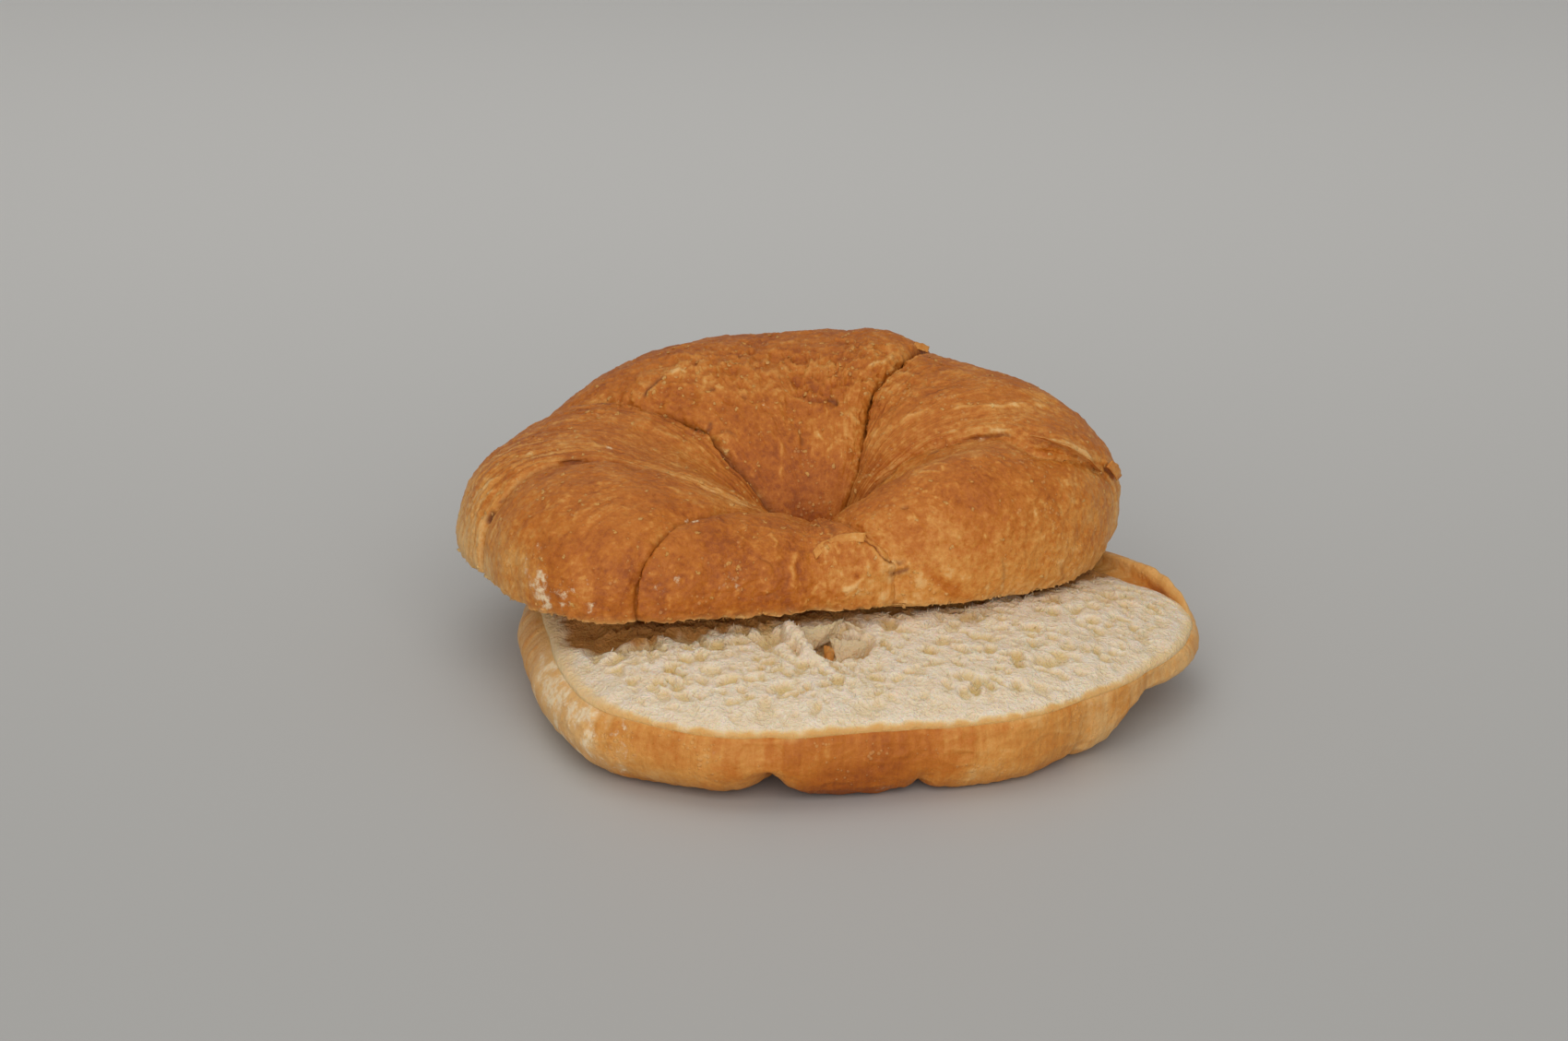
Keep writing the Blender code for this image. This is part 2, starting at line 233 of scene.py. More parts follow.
def make_piece(name, points, faces, attributes, material):
    """Smooth mesh object of points in millimetres, with its faces turned outwards."""
    mesh = bpy.data.meshes.new(name)
    triangles = np.array([(f[0], f[i], f[i + 1]) for f in faces for i in range(1, len(f) - 1)])
    a, b, c = (points[triangles[:, k]] for k in range(3))
    if np.einsum("ij,ij->", a, np.cross(b, c)) < 0:
        faces = [tuple(reversed(face)) for face in faces]
    mesh.from_pydata((points * MM).tolist(), [], faces)
    for key, values in attributes.items():
        values = np.asarray(values, np.float32)
        vector = values.ndim == 2
        layer = mesh.attributes.new(key, "FLOAT_VECTOR" if vector else "FLOAT", "POINT")
        layer.data.foreach_set("vector" if vector else "value", values.ravel())
    mesh.shade_smooth()
    mesh.materials.append(material)
    piece = bpy.data.objects.new(name, mesh)
    bpy.context.scene.collection.objects.link(piece)
    return piece


def crust_wall(angle):
    """From 0 to 1 where the crust stands clear of the crumb."""
    middle, reach = BASE_CRUST_WALL_AT
    return smooth(1 - np.abs((angle - middle + 180) % 360 - 180) / reach)


def base_edge(angle):
    """Heights of the crust's and of the crumb's edge round the bottom half."""
    wall = crust_wall(angle)
    edge = BASE_RIM_HEIGHT + BASE_REAR_RISE * smooth((np.sin(np.radians(angle)) + 0.2) / 0.8)
    return edge + BASE_CRUST_WALL[0] * wall, edge - BASE_CRUST_WALL[1] * wall


def cut_height(x, y):
    """Height of the top half's cut face over a point."""
    return (CUT_HEIGHT + math.tan(math.radians(CUT_TILT[0])) * y
            - math.tan(math.radians(CUT_TILT[1])) * x)


def base_row(angle, share, start_depth, end_depth, part, place):
    """Row of points round the bottom half's crust."""
    rim = round_the_ring(BASE_RIM, 1, angle)
    bulge = round_the_ring(BASE_WALL, 1, angle)
    foot = round_the_ring(BASE_WALL, 2, angle) * (rim + bulge)
    lift = np.maximum(0.0, round_the_ring(BASE_LIFT, 1, angle))
    dip = notch(share, {"under": 0.0, "wall": place}.get(part, 1.0))
    dip *= (1 - share) * start_depth + share * end_depth
    foot_dip, edge_dip = (dip * left for left in BASE_GROOVE_LEFT)
    covered = 1 - smooth(3 * crust_wall(angle))
    jag = noise(np.stack([0.45 * angle, 0 * angle, 0 * angle], axis=-1), 1.0, 13)
    rim_height = base_edge(angle)[0] - LIP_ROUND * covered + BASE_CRUST_WALL_RAGGED * crust_wall(angle) * jag
    widest = BASE_WIDEST + 0.5 * lift
    if part == "under":
        radius = BASE_FLAT * rim * (1 - place) + (foot - foot_dip) * place
        height = (lift + dip) * smooth(place)
    elif part == "wall":
        swing = place * math.pi / 2
        radius = foot + (rim + bulge - foot) * math.sin(swing) - foot_dip * (1 - place) - edge_dip * place
        height = lift + dip + (widest - lift - dip) * (1 - math.cos(swing))
    elif part == "lip":
        radius = rim + bulge * (1 - place**2) - edge_dip - LIP_ROUND * covered * max(0.0, 5 * place - 4) ** 2
        height = widest + (rim_height - widest) * place
    else:
        radius = rim - edge_dip - LIP_ROUND * covered - BASE_CRUST * min(1.0, 2 * place)
        height = rim_height - 5 * max(0.0, place - 0.2)
    x, y = around(BASE_MIDDLE, radius, angle)
    if part in ("lip", "inside"):
        height = np.minimum(height, cut_height(x, y) - CUT_GAP)
    return np.stack([x, y, height + 0 * x], axis=-1)


def plug(tree, socket, value):
    """Give an input a plain value, or link another node's output to it."""
    if isinstance(value, bpy.types.NodeSocket):
        tree.links.new(value, socket)
    else:
        socket.default_value = value


def feed(tree, node, **inputs):
    """Plug values into a node's inputs by their names."""
    for key, value in inputs.items():
        name = key.replace("_", " ")
        plug(tree, next(socket for socket in node.inputs if socket.enabled and socket.name == name), value)


def add(tree, kind, settings=None, **inputs):
    """New node, a shader node unless its kind says otherwise, with its properties and its inputs."""
    node = tree.nodes.new(kind if "Node" in kind else "ShaderNode" + kind)
    for key, value in (settings or {}).items():
        setattr(node, key, value)
    feed(tree, node, **inputs)
    return node


def calc(tree, operation, *values):
    """Output of a Math node on values or sockets."""
    node = add(tree, "Math", dict(operation=operation))
    for socket, value in zip(node.inputs, values):
        plug(tree, socket, value)
    return node.outputs[0]


def mixed(tree, share, first, second):
    """Output of a Mix node on two colours; its factor and colours are its inputs 0, 6 and 7."""
    node = add(tree, "Mix", dict(data_type="RGBA"))
    for index, value in ((0, share), (6, first), (7, second)):
        plug(tree, node.inputs[index], (*value, 1.0) if isinstance(value, tuple) else value)
    return node.outputs[2]


def spread(tree, value, low, high, to_low=0.0, to_high=1.0):
    """Value eased from one range into another."""
    node = add(tree, "MapRange", dict(interpolation_type="SMOOTHSTEP"), Value=value, From_Min=low,
               From_Max=high, To_Min=to_low, To_Max=to_high)
    return node.outputs["Result"]


def ramp(tree, value, stops):
    """Colour that a value picks from a ramp of (position, colour) stops."""
    node = add(tree, "ValToRGB")
    plug(tree, node.inputs[0], value)
    elements = node.color_ramp.elements
    while len(elements) < len(stops):
        elements.new(0.5)
    for element, (position, colour) in zip(elements, stops):
        element.position = position
        element.color = (*colour, 1.0)
    return node.outputs[0]


def attribute(tree, name, output="Fac"):
    """Output of a node that reads one of the piece's own attributes."""
    return add(tree, "Attribute", dict(attribute_name=name)).outputs[output]


def new_group(name, kind, inputs, outputs):
    """Empty node group with named sockets: its tree, and its inputs and outputs seen from inside."""
    tree = bpy.data.node_groups.new(name, kind)
    for direction, sockets in (("INPUT", inputs), ("OUTPUT", outputs)):
        for key, data in sockets.items():
            tree.interface.new_socket(key, in_out=direction, socket_type="NodeSocket" + data)
    return tree, tree.nodes.new("NodeGroupInput").outputs, tree.nodes.new("NodeGroupOutput").inputs


def new_material(name):
    """Material with its tree, its shader and the Object coordinates of the piece that wears it."""
    material = bpy.data.materials.new(name)
    material.use_nodes = True
    tree = material.node_tree
    return material, tree, tree.nodes["Principled BSDF"], add(tree, "TexCoord").outputs["Object"]


def grain_group():
    """Node group: the fine grain of baked dough, as a height and as separate pale specks."""
    tree, inside, outside = new_group("dough grain", "ShaderNodeTree", dict(Vector="Vector", Size="Float"),
                                      dict(Height="Float", Specks="Float"))
    scale = calc(tree, "DIVIDE", 1 / MM, inside["Size"])
    cloudy = add(tree, "TexNoise", Vector=inside["Vector"], Scale=scale, Detail=5.0, Roughness=0.65)
    dots = add(tree, "TexVoronoi", Vector=inside["Vector"], Scale=calc(tree, "MULTIPLY", scale, 0.9))
    where = add(tree, "TexNoise", Vector=inside["Vector"], Scale=calc(tree, "MULTIPLY", scale, 0.16),
                Detail=2.0)
    reach = spread(tree, where.outputs[0], 0.45, 0.72, 0.05, 0.42)
    specks = spread(tree, calc(tree, "SUBTRACT", reach, dots.outputs["Distance"]), 0.0, 0.12)
    tree.links.new(cloudy.outputs[0], outside["Height"])
    tree.links.new(specks, outside["Specks"])
    return tree


DOUGH_GRAIN = grain_group()


# Crust from just set to dark brown, as (share baked, colour).
CRUST_BROWNING = [(0.0, (0.79, 0.46, 0.17)), (0.3, (0.69, 0.30, 0.060)), (0.6, (0.55, 0.168, 0.014)),
                  (0.85, (0.44, 0.115, 0.006)), (1.0, (0.34, 0.080, 0.005))]
SPECK_COLOUR = (0.80, 0.44, 0.16)
TORN_EDGE_COLOUR = (0.78, 0.48, 0.17)
CRACK_SHADE_COLOUR = (0.19, 0.048, 0.007)
FLOUR_COLOUR = (0.88, 0.68, 0.43)


def crust_material():
    """Browned egg-washed crust: colour by the bake attribute, with streaks, mottling, flour and painted shade
    in cracks.
    """
    material, tree, shader, place = new_material("baked crust")
    bake, flour, edge, dark, layers, mottled = (
        attribute(tree, key) for key in ("bake", "flour", "edge", "dark", "layers", "mottled"))

    along = add(tree, "Mapping", Vector=attribute(tree, "flow", "Vector"), Scale=(1.0, 1.0, 0.05)).outputs[0]
    streaks = add(tree, "TexNoise", Vector=along, Scale=1.1, Detail=3.0, Roughness=0.65).outputs[0]
    streaks = calc(tree, "MULTIPLY", calc(tree, "SUBTRACT", streaks, 0.5), layers)
    blotches = add(tree, "TexNoise", Vector=place, Scale=130.0, Detail=5.0, Roughness=0.65).outputs[0]
    mottles = add(tree, "TexNoise", Vector=place, Scale=800.0, Detail=5.0, Roughness=0.7).outputs[0]
    grain = add(tree, "Group", dict(node_tree=DOUGH_GRAIN), Vector=place, Size=0.9)

    tone = calc(tree, "MULTIPLY_ADD", streaks, 1.3, bake)
    for part, weight in ((blotches, 0.9), (mottles, 1.0)):
        tone = calc(tree, "MULTIPLY_ADD", calc(tree, "SUBTRACT", part, 0.5),
                    calc(tree, "MULTIPLY", mottled, weight), tone)
    specks = calc(tree, "MULTIPLY", grain.outputs["Specks"], 0.30)
    colour = mixed(tree, specks, ramp(tree, tone, CRUST_BROWNING), SPECK_COLOUR)
    colour = mixed(tree, edge, colour, TORN_EDGE_COLOUR)
    # Painted shade: the dark attribute colours the cracks nearly black-brown.
    colour = mixed(tree, dark, colour, CRACK_SHADE_COLOUR)
    powder = spread(tree, calc(tree, "MULTIPLY_ADD", flour, 0.28, mottles), 0.58, 0.86)
    powder = calc(tree, "MULTIPLY", powder, spread(tree, flour, 0.02, 0.3))
    colour = mixed(tree, powder, colour, FLOUR_COLOUR)

    rough = calc(tree, "MULTIPLY_ADD", mottles, 0.25, 0.36)
    height = calc(tree, "MULTIPLY_ADD", streaks, 1.6, grain.outputs["Height"])
    height = calc(tree, "MULTIPLY_ADD", grain.outputs["Specks"], 0.3, height)
    bump = add(tree, "Bump", Height=height, Distance=0.34 * MM, Strength=0.9)
    feed(tree, shader, Base_Color=colour, Roughness=calc(tree, "MULTIPLY_ADD", powder, 0.3, rough),
         Normal=bump.outputs[0], Specular_IOR_Level=0.36, Subsurface_Weight=0.08,
         Subsurface_Radius=(1.0, 0.45, 0.2), Subsurface_Scale=1.0 * MM)
    return material


BAKED_CRUST = crust_material()


def make_base_crust():
    """Bottom half's crust: underside, wall, cut edge, and the inner side that the crumb covers."""
    starts, depths = np.array(BASE_GROOVES, float).T
    spans = np.diff(np.append(starts, starts[0] + 360))
    lobe, share = shared_out(spans, BASE_COLUMNS)
    angle = starts[lobe] + share * spans[lobe]
    rows = [("under", place) for place in np.linspace(0, 1, 14)[:-1]]
    rows += [("wall", place) for place in np.linspace(0, 1, 30)[:-1]]
    rows += [("lip", place) for place in np.linspace(0, 1, 30)]
    edge_row = len(rows) - 1
    rows += [("inside", place) for place in (0.15, 0.35, 0.5, 0.6, 0.7, 0.8, 1.0)]
    grid = np.stack([base_row(angle, share, depths[lobe], np.roll(depths, -1)[lobe], part, place)
                     for part, place in rows])

    normals = grid_normals(grid)
    beside = edge_row - 20
    if normals[beside, 0] @ (grid[beside, 0] - (*BASE_MIDDLE, BASE_WIDEST)) < 0:
        normals = -normals
    number = np.arange(len(rows))[:, None]
    wall = smooth(number / 16) * (0.3 + 0.7 * smooth((edge_row + 3 - number) / 12))
    relief = lumps(grid, BASE_LUMPS)
    relief += 0.22 * (ridges(grid, *BASE_WRINKLES) - 0.45) * smooth(noise(grid, 22, 5) + 0.5)
    relief += 0.06 * noise(grid, 1.1, 6)
    none = 0 * grid[..., 2]
    travelled = np.radians(angle)[None] * BASE_ROUND + none
    drawn = noise(np.stack([travelled, none, grid[..., 2]], axis=-1), (1.5, 1, 16), 7)
    relief += 0.14 * drawn
    grid += normals * (relief * wall)[..., None]
    x, y, z = np.moveaxis(grid, -1, 0)
    np.maximum(z, 0.0, out=z)

    foot, cut = (round_the_ring(BASE_BAKE, k, angle)[None] for k in (2, 1))
    bake = foot + (cut - foot) * smooth((z - 1.0) / 11) + lumps(grid, [(12, 0.20, 8), (4, 0.12, 10)])
    bake += 0.16 * np.clip(drawn, -1, 1) * smooth((z - 5) / 7) + 0.08 * (z < 2.5)
    bake -= 0.07 * smooth(3 * ridges(grid, *BASE_WRINKLES) - 2)
    flour = patches(x, y, FLOUR_PATCHES) * (0.9 + 1.6 * noise(grid, (2.8, 2.8, 4.5), 14))
    flour += 0.30 * smooth((noise(grid, 9, 9) - 0.35) * 3)
    below = base_edge(angle)[0][None] - z + lumps(grid, [(4, 0.8, 11), (1.4, 0.3, 12)])
    edge = smooth(1 - (below + 0.2) / 1.5) * (1 - 0.75 * crust_wall(angle)[None])
    inner_side = np.clip((number - edge_row - 2) / 3, 0, 1)
    edge = np.where(number >= edge_row - 1, 1 - 0.75 * inner_side, edge)
    bake = bake + inner_side * (0.75 * smooth(np.cos(np.radians(angle + 2)) * 14 - 12.6) - 0.1)[None]
    flow = np.stack([travelled, none, number * 0.7 + none], axis=-1)
    numbers = np.arange(z.size).reshape(z.shape)
    poles = np.array([grid[0].mean(axis=0), grid[-1].mean(axis=0)])
    faces = grid_faces(np.hstack([numbers, numbers[:, :1]]))
    faces += fan_faces(numbers[0, ::-1].tolist(), numbers.size)
    faces += fan_faces(numbers[-1].tolist(), numbers.size + 1)
    values = dict(bake=np.clip(bake, 0, 1), flour=np.clip(flour, 0, 1), edge=0.5 * edge, dark=0 * bake,
                  layers=0.25 + 0 * bake, mottled=0.5 + 0.7 * np.clip(flour, 0, 1))
    attributes = {key: np.append(value.ravel(), (0, 0)) for key, value in values.items()}
    attributes["flow"] = np.vstack([flow.reshape(-1, 3), np.zeros((2, 3))])
    return make_piece("bottom_crust", np.vstack([grid.reshape(-1, 3), poles]), faces, attributes, BAKED_CRUST)


def lay_in_place(piece, turn=None):
    """Put a piece made in its half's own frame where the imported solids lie."""
    if turn is not None:
        piece.data.transform(turn)
    piece.data.transform(Matrix.Translation(TO_FRAME))


plain = np.concatenate([base_row(np.arange(0, 360, 0.5), np.full(720, 0.5), 0, 0, "wall", 1.0)])
low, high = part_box("bottom_half")
TO_FRAME = Vector(((low.x + high.x) / 2 - (plain[:, 0].min() + plain[:, 0].max()) / 2 * MM,
                   (low.y + high.y) / 2 - (plain[:, 1].min() + plain[:, 1].max()) / 2 * MM, 0.0))

bottom_crust = make_base_crust()
lay_in_place(bottom_crust)
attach(bottom_crust, "root")
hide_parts("bottom_half")

# ---------------------------------------------------------------------------------------------
# Crumb of the bottom half: the cut face, cream-white and open, with bubbles of all sizes that the
# knife cut through, finer and denser towards the crust, where it turns yellow and then tan. In
# the middle the cut went through the bottom of the navel and tore a pit, with a tuft beside it.
# ---------------------------------------------------------------------------------------------

CRUMB_TOP = 18.6                 # top of the dome
CRUMB_DOME = 5                   # exponent of the dome: the higher, the flatter its middle
CRUMB_SIDE = 296                 # points along each side of the square grid that is bent into a disc
CRUMB_ROLL = (1.4, 0.95)         # how far in from the crust its edge rolls over, and how deep
CRUMB_SKIRT = (2.0, 2.5)         # how far inwards and down its hidden skirt goes
CRUMB_FOOT = 9.0                 # height of its hidden underside's middle
# Its tan margin, as (angle, width, how browned it is at the crust).
CRUMB_MARGIN = [(0, 3.2, 0.5), (14, 2.0, 0.7), (90, 1.6, 0.9), (165, 3.5, 0.6), (190, 5.0, 0.50),
                (205, 5.0, 0.48), (218, 3.4, 0.6), (230, 1.8, 0.85), (262, 1.5, 0.95), (280, 1.4, 0.95),
                (325, 1.4, 0.85), (345, 3.0, 0.5)]
# Torn pit, where the cut went through the bottom of the navel.
PIT_MIDDLE = (5.5, -37.0)
PIT_SIZE = (8.5, 9.5)
PIT_DEPTH = 3.85
# Larger bubbles, as (x, y, half length, half width, turn in degrees, depth), and how many small ones.
BUBBLES = [(44.5, -41.0, 2.6, 1.7, 20, 1.3), (28.9, -17.7, 2.2, 1.5, 0, 1.2),
           (-3.2, -55.3, 2.0, 1.3, 10, 1.0), (34.0, -33.0, 2.4, 1.2, -25, 1.0),
           (23.8, -45.2, 1.9, 1.0, 35, 0.9), (43.0, -28.0, 1.8, 1.2, 0, 0.9),
           (13.3, -50.9, 1.5, 1.0, -20, 0.8), (-29.5, -37.6, 3.4, 2.0, 15, 1.8),
           (-21.2, -34.5, 2.6, 2.2, 60, 1.8), (-17.0, -39.5, 2.6, 1.4, -30, 1.4),
           (-5.9, -35.5, 3.2, 2.6, 80, 2.2), (-33.8, -42.0, 2.4, 1.4, 40, 1.0),
           (-12.0, -37.0, 2.4, 1.5, 20, 1.2), (18.0, -31.0, 2.6, 1.4, -10, 1.1),
           (52.0, -18.0, 2.2, 1.2, 60, 0.9), (59.0, -9.0, 2.4, 1.3, -40, 1.0),
           (36.0, -10.0, 2.6, 1.6, 10, 1.2), (47.0, -4.0, 2.2, 1.4, 30, 1.2),
           (-36.0, -34.0, 5.0, 3.0, 60, 2.2), (-41.0, -29.0, 4.0, 5.0, 0, 2.6)]
SMALL_BUBBLES = 300
# Tuft of crumb beside the pit, as points of its ridge with their heights.
TUFT = [(-2.5, -33.0, 2.0), (-0.8, -37.5, 2.2), (1.0, -42.5, 1.2), (3.5, -46.5, 0.3)]
# Plan line of the top half's front edge, behind which the crumb is painted warm brown as shade.
CROWN_EDGE = [(-60, -20), (-54.6, -26.8), (-44, -38), (-31.4, -39.6), (-16, -35.8), (-4, -32.8),
              (12.9, -27.3), (32.5, -22.3), (48.2, -13), (57.4, -2.9), (62, 5)]
# How strong that painted shade is, as (x, strength, how far in front of that line it begins).
CROWN_SHADE = [(-45, 0.80, 0.0), (-36, 0.85, 0.0), (-5, 0.88, 0.5), (6, 0.75, 3.0), (30, 0.62, 3.5),
               (60, 0.42, 2.5)]


def disc_grid(side):
    """Square grid bent into a disc of radius 1: x and y of every point, row by row."""
    line = np.linspace(-1, 1, side)
    x, y = np.meshgrid(line, line)
    return (x * np.sqrt(1 - y * y / 2)).ravel(), (y * np.sqrt(1 - x * x / 2)).ravel()


def outer_loop(numbers):
    """Numbers round the edge of a grid."""
    sides = [numbers[0, :-1], numbers[:-1, -1], numbers[-1, :0:-1], numbers[:0:-1, 0]]
    return np.concatenate(sides).tolist()


def disc_piece(name, face, behind, tip, values):
    """Closed crumb: its face on a disc's grid, a skirt to the points behind its loop, a fan to a tip.

    Values are the material's attributes, as (on the face, on the hidden points).
    """
    numbers = np.arange(len(face)).reshape(math.isqrt(len(face)), -1)
    loop = outer_loop(numbers)
    first, last = len(face), len(face) + len(loop)
    faces = grid_faces(numbers)
    faces += [(b, a, first + i, first + (i + 1) % len(loop))
              for i, (a, b) in enumerate(zip(loop, loop[1:] + loop[:1]))]
    faces += fan_faces(range(last - 1, first - 1, -1), last)
    attributes = {key: np.append(shown, np.full(len(loop) + 1, float(hidden)))
                  for key, (shown, hidden) in values.items()}
    return make_piece(name, np.vstack([face, behind, [tip]]), faces, attributes, OPEN_CRUMB)


def turned(degrees):
    """Matrix that turns plan coordinates."""
    c, s = math.cos(math.radians(degrees)), math.sin(math.radians(degrees))
    return np.array([[c, -s, 0], [s, c, 0], [0, 0, 1]])


def crumb_relief(x, y, inner, seed, count, spots=()):
    """Height of torn crumb over its smooth face, and how deep in a bubble each point is."""
    flat = np.stack([x, y, np.full_like(x, 0.37)], axis=-1)
    bent = flat + 0.7 * np.stack([noise(flat, 2.6, seed + 1), noise(flat, 2.6, seed + 2), 0 * x], axis=-1)
    open_part = (0.25 + 0.75 * inner) * (0.80 + 0.45 * noise(flat, 9, seed + 10))
    leaning = bent @ turned(25)
    away, wall, number = cells(leaning, (2.6, 3.8, 2.6), seed + 3)
    cup = smooth((0.26 + 0.44 * number - away) / 0.30)
    away, _, number = cells(leaning, (1.2, 2.2, 1.4), seed + 11)
    small_cup = smooth((0.20 + 0.46 * number - away) / 0.30)
    relief = lumps(flat, [(11, 0.45, seed + 6), (4.5, 0.35, seed + 7)])
    relief += open_part * (0.10 * wall - 1.15 * cup - 0.45 * small_cup)
    relief += open_part * (0.10 * noise(leaning, (1.2, 2.4, 1), seed + 8) + 0.07 * noise(flat, 0.8, seed + 9))
    bubble = np.clip(open_part * (cup + 0.55 * small_cup), 0, 1)
    random = np.random.default_rng(seed)
    made = [(random.uniform(x.min(), x.max()), random.uniform(y.min(), y.max()),
             0.7 + 1.5 * random.random()**2, 0.5 + 0.7 * random.random()**2,
             random.uniform(-50, 50), 0.4 + 0.7 * random.random())
            for _ in range(count)]
    for bx, by, length, width, tilt, depth in [*made, *spots]:
        reach = 1.5 * max(length, width) + 1.5
        box = (np.abs(x - bx) < reach) & (np.abs(y - by) < reach)
        local = (bent[box] - (bx, by, 0)) @ turned(tilt)
        hole = smooth(1.5 - np.hypot(local[:, 0] / length, local[:, 1] / width))
        hole *= (0.35 + 0.65 * inner[box])
        relief[box] = relief[box] * (1 - 0.6 * hole) - depth * hole
        bubble[box] = np.maximum(bubble[box], 0.9 * hole)
    return relief, bubble


def foam_group():
    """Node group: the finest bubbles of torn crumb, as a height and as how deep in one a point is."""
    tree, inside, outside = new_group("crumb foam", "ShaderNodeTree", dict(Vector="Vector", Size="Float"),
                                      dict(Height="Float", Hollow="Float"))
    scale = calc(tree, "DIVIDE", 1 / MM, inside["Size"])
    bend = add(tree, "TexNoise", Vector=inside["Vector"], Scale=calc(tree, "MULTIPLY", scale, 0.5),
               Detail=3.0)
    bend = add(tree, "VectorMath", dict(operation="SCALE"), Vector=bend.outputs["Color"], Scale=1.3 * MM)
    place = add(tree, "VectorMath")
    for socket, value in zip(place.inputs, (inside["Vector"], bend.outputs[0])):
        plug(tree, socket, value)
    heights = []
    for finer in (1.0, 2.2):
        walls = add(tree, "TexVoronoi", dict(feature="DISTANCE_TO_EDGE"), Vector=place.outputs[0],
                    Scale=calc(tree, "MULTIPLY", scale, finer))
        heights.append(spread(tree, walls.outputs["Distance"], 0.0, 0.30, 1.0, 0.0))
    height = calc(tree, "MULTIPLY_ADD", heights[1], 0.5, heights[0])
    tree.links.new(height, outside["Height"])
    tree.links.new(spread(tree, height, 0.0, 0.9, 1.0, 0.0), outside["Hollow"])
    return tree


CRUMB_FOAM = foam_group()


CRUMB_CREAM = ((0.86, 0.69, 0.48), (0.92, 0.79, 0.63))
FOAM_SHADE_COLOUR = (0.74, 0.52, 0.27)
BUBBLE_SHADE_COLOUR = (0.74, 0.53, 0.235)
PAINTED_SHADE_COLOUR = (0.50, 0.22, 0.05)
# Crumb from its inside to the crust, as (share, colour).
CRUMB_TO_CRUST = [(0.0, (0.88, 0.72, 0.52)), (0.45, (0.82, 0.60, 0.33)), (0.75, (0.74, 0.45, 0.18)),
                  (1.0, (0.70, 0.38, 0.12))]


def crumb_material():
    """Soft translucent crumb: cream, yellower next to the crust; painted shade in bubbles, pit and under the
    top half.
    """
    material, tree, shader, place = new_material("open crumb")
    bubble, edge, moist = (attribute(tree, key) for key in ("bubble", "edge", "moist"))
    grain = add(tree, "Group", dict(node_tree=DOUGH_GRAIN), Vector=place, Size=0.5)
    foam = add(tree, "Group", dict(node_tree=CRUMB_FOAM), Vector=place, Size=1.3)
    clouds = add(tree, "TexNoise", Vector=place, Scale=260.0, Detail=6.0, Roughness=0.7).outputs[0]
    colour = mixed(tree, spread(tree, clouds, 0.35, 0.68), *CRUMB_CREAM)
    # Painted shade: darker in the hollows of the fine foam and in the larger bubbles.
    colour = mixed(tree, calc(tree, "MULTIPLY", foam.outputs["Hollow"], 0.12), colour, FOAM_SHADE_COLOUR)
    colour = mixed(tree, bubble, colour, BUBBLE_SHADE_COLOUR)
    # Painted shade: warm brown where the top half overhangs the crumb, and in the pit.
    colour = mixed(tree, moist, colour, PAINTED_SHADE_COLOUR)
    colour = mixed(tree, spread(tree, edge, 0.02, 0.35), colour, ramp(tree, edge, CRUMB_TO_CRUST))
    height = calc(tree, "MULTIPLY_ADD", foam.outputs["Height"], 0.7, grain.outputs["Height"])
    height = calc(tree, "MULTIPLY", height, spread(tree, edge, 0.0, 0.8, 1.0, 0.4))
    bump = add(tree, "Bump", Height=height, Distance=0.26 * MM, Strength=0.9)
    feed(tree, shader, Base_Color=colour, Normal=bump.outputs[0], Roughness=0.85, Specular_IOR_Level=0.2,
         Subsurface_Weight=0.4, Subsurface_Radius=(1.0, 0.6, 0.3), Subsurface_Scale=0.8 * MM)
    return material


OPEN_CRUMB = crumb_material()


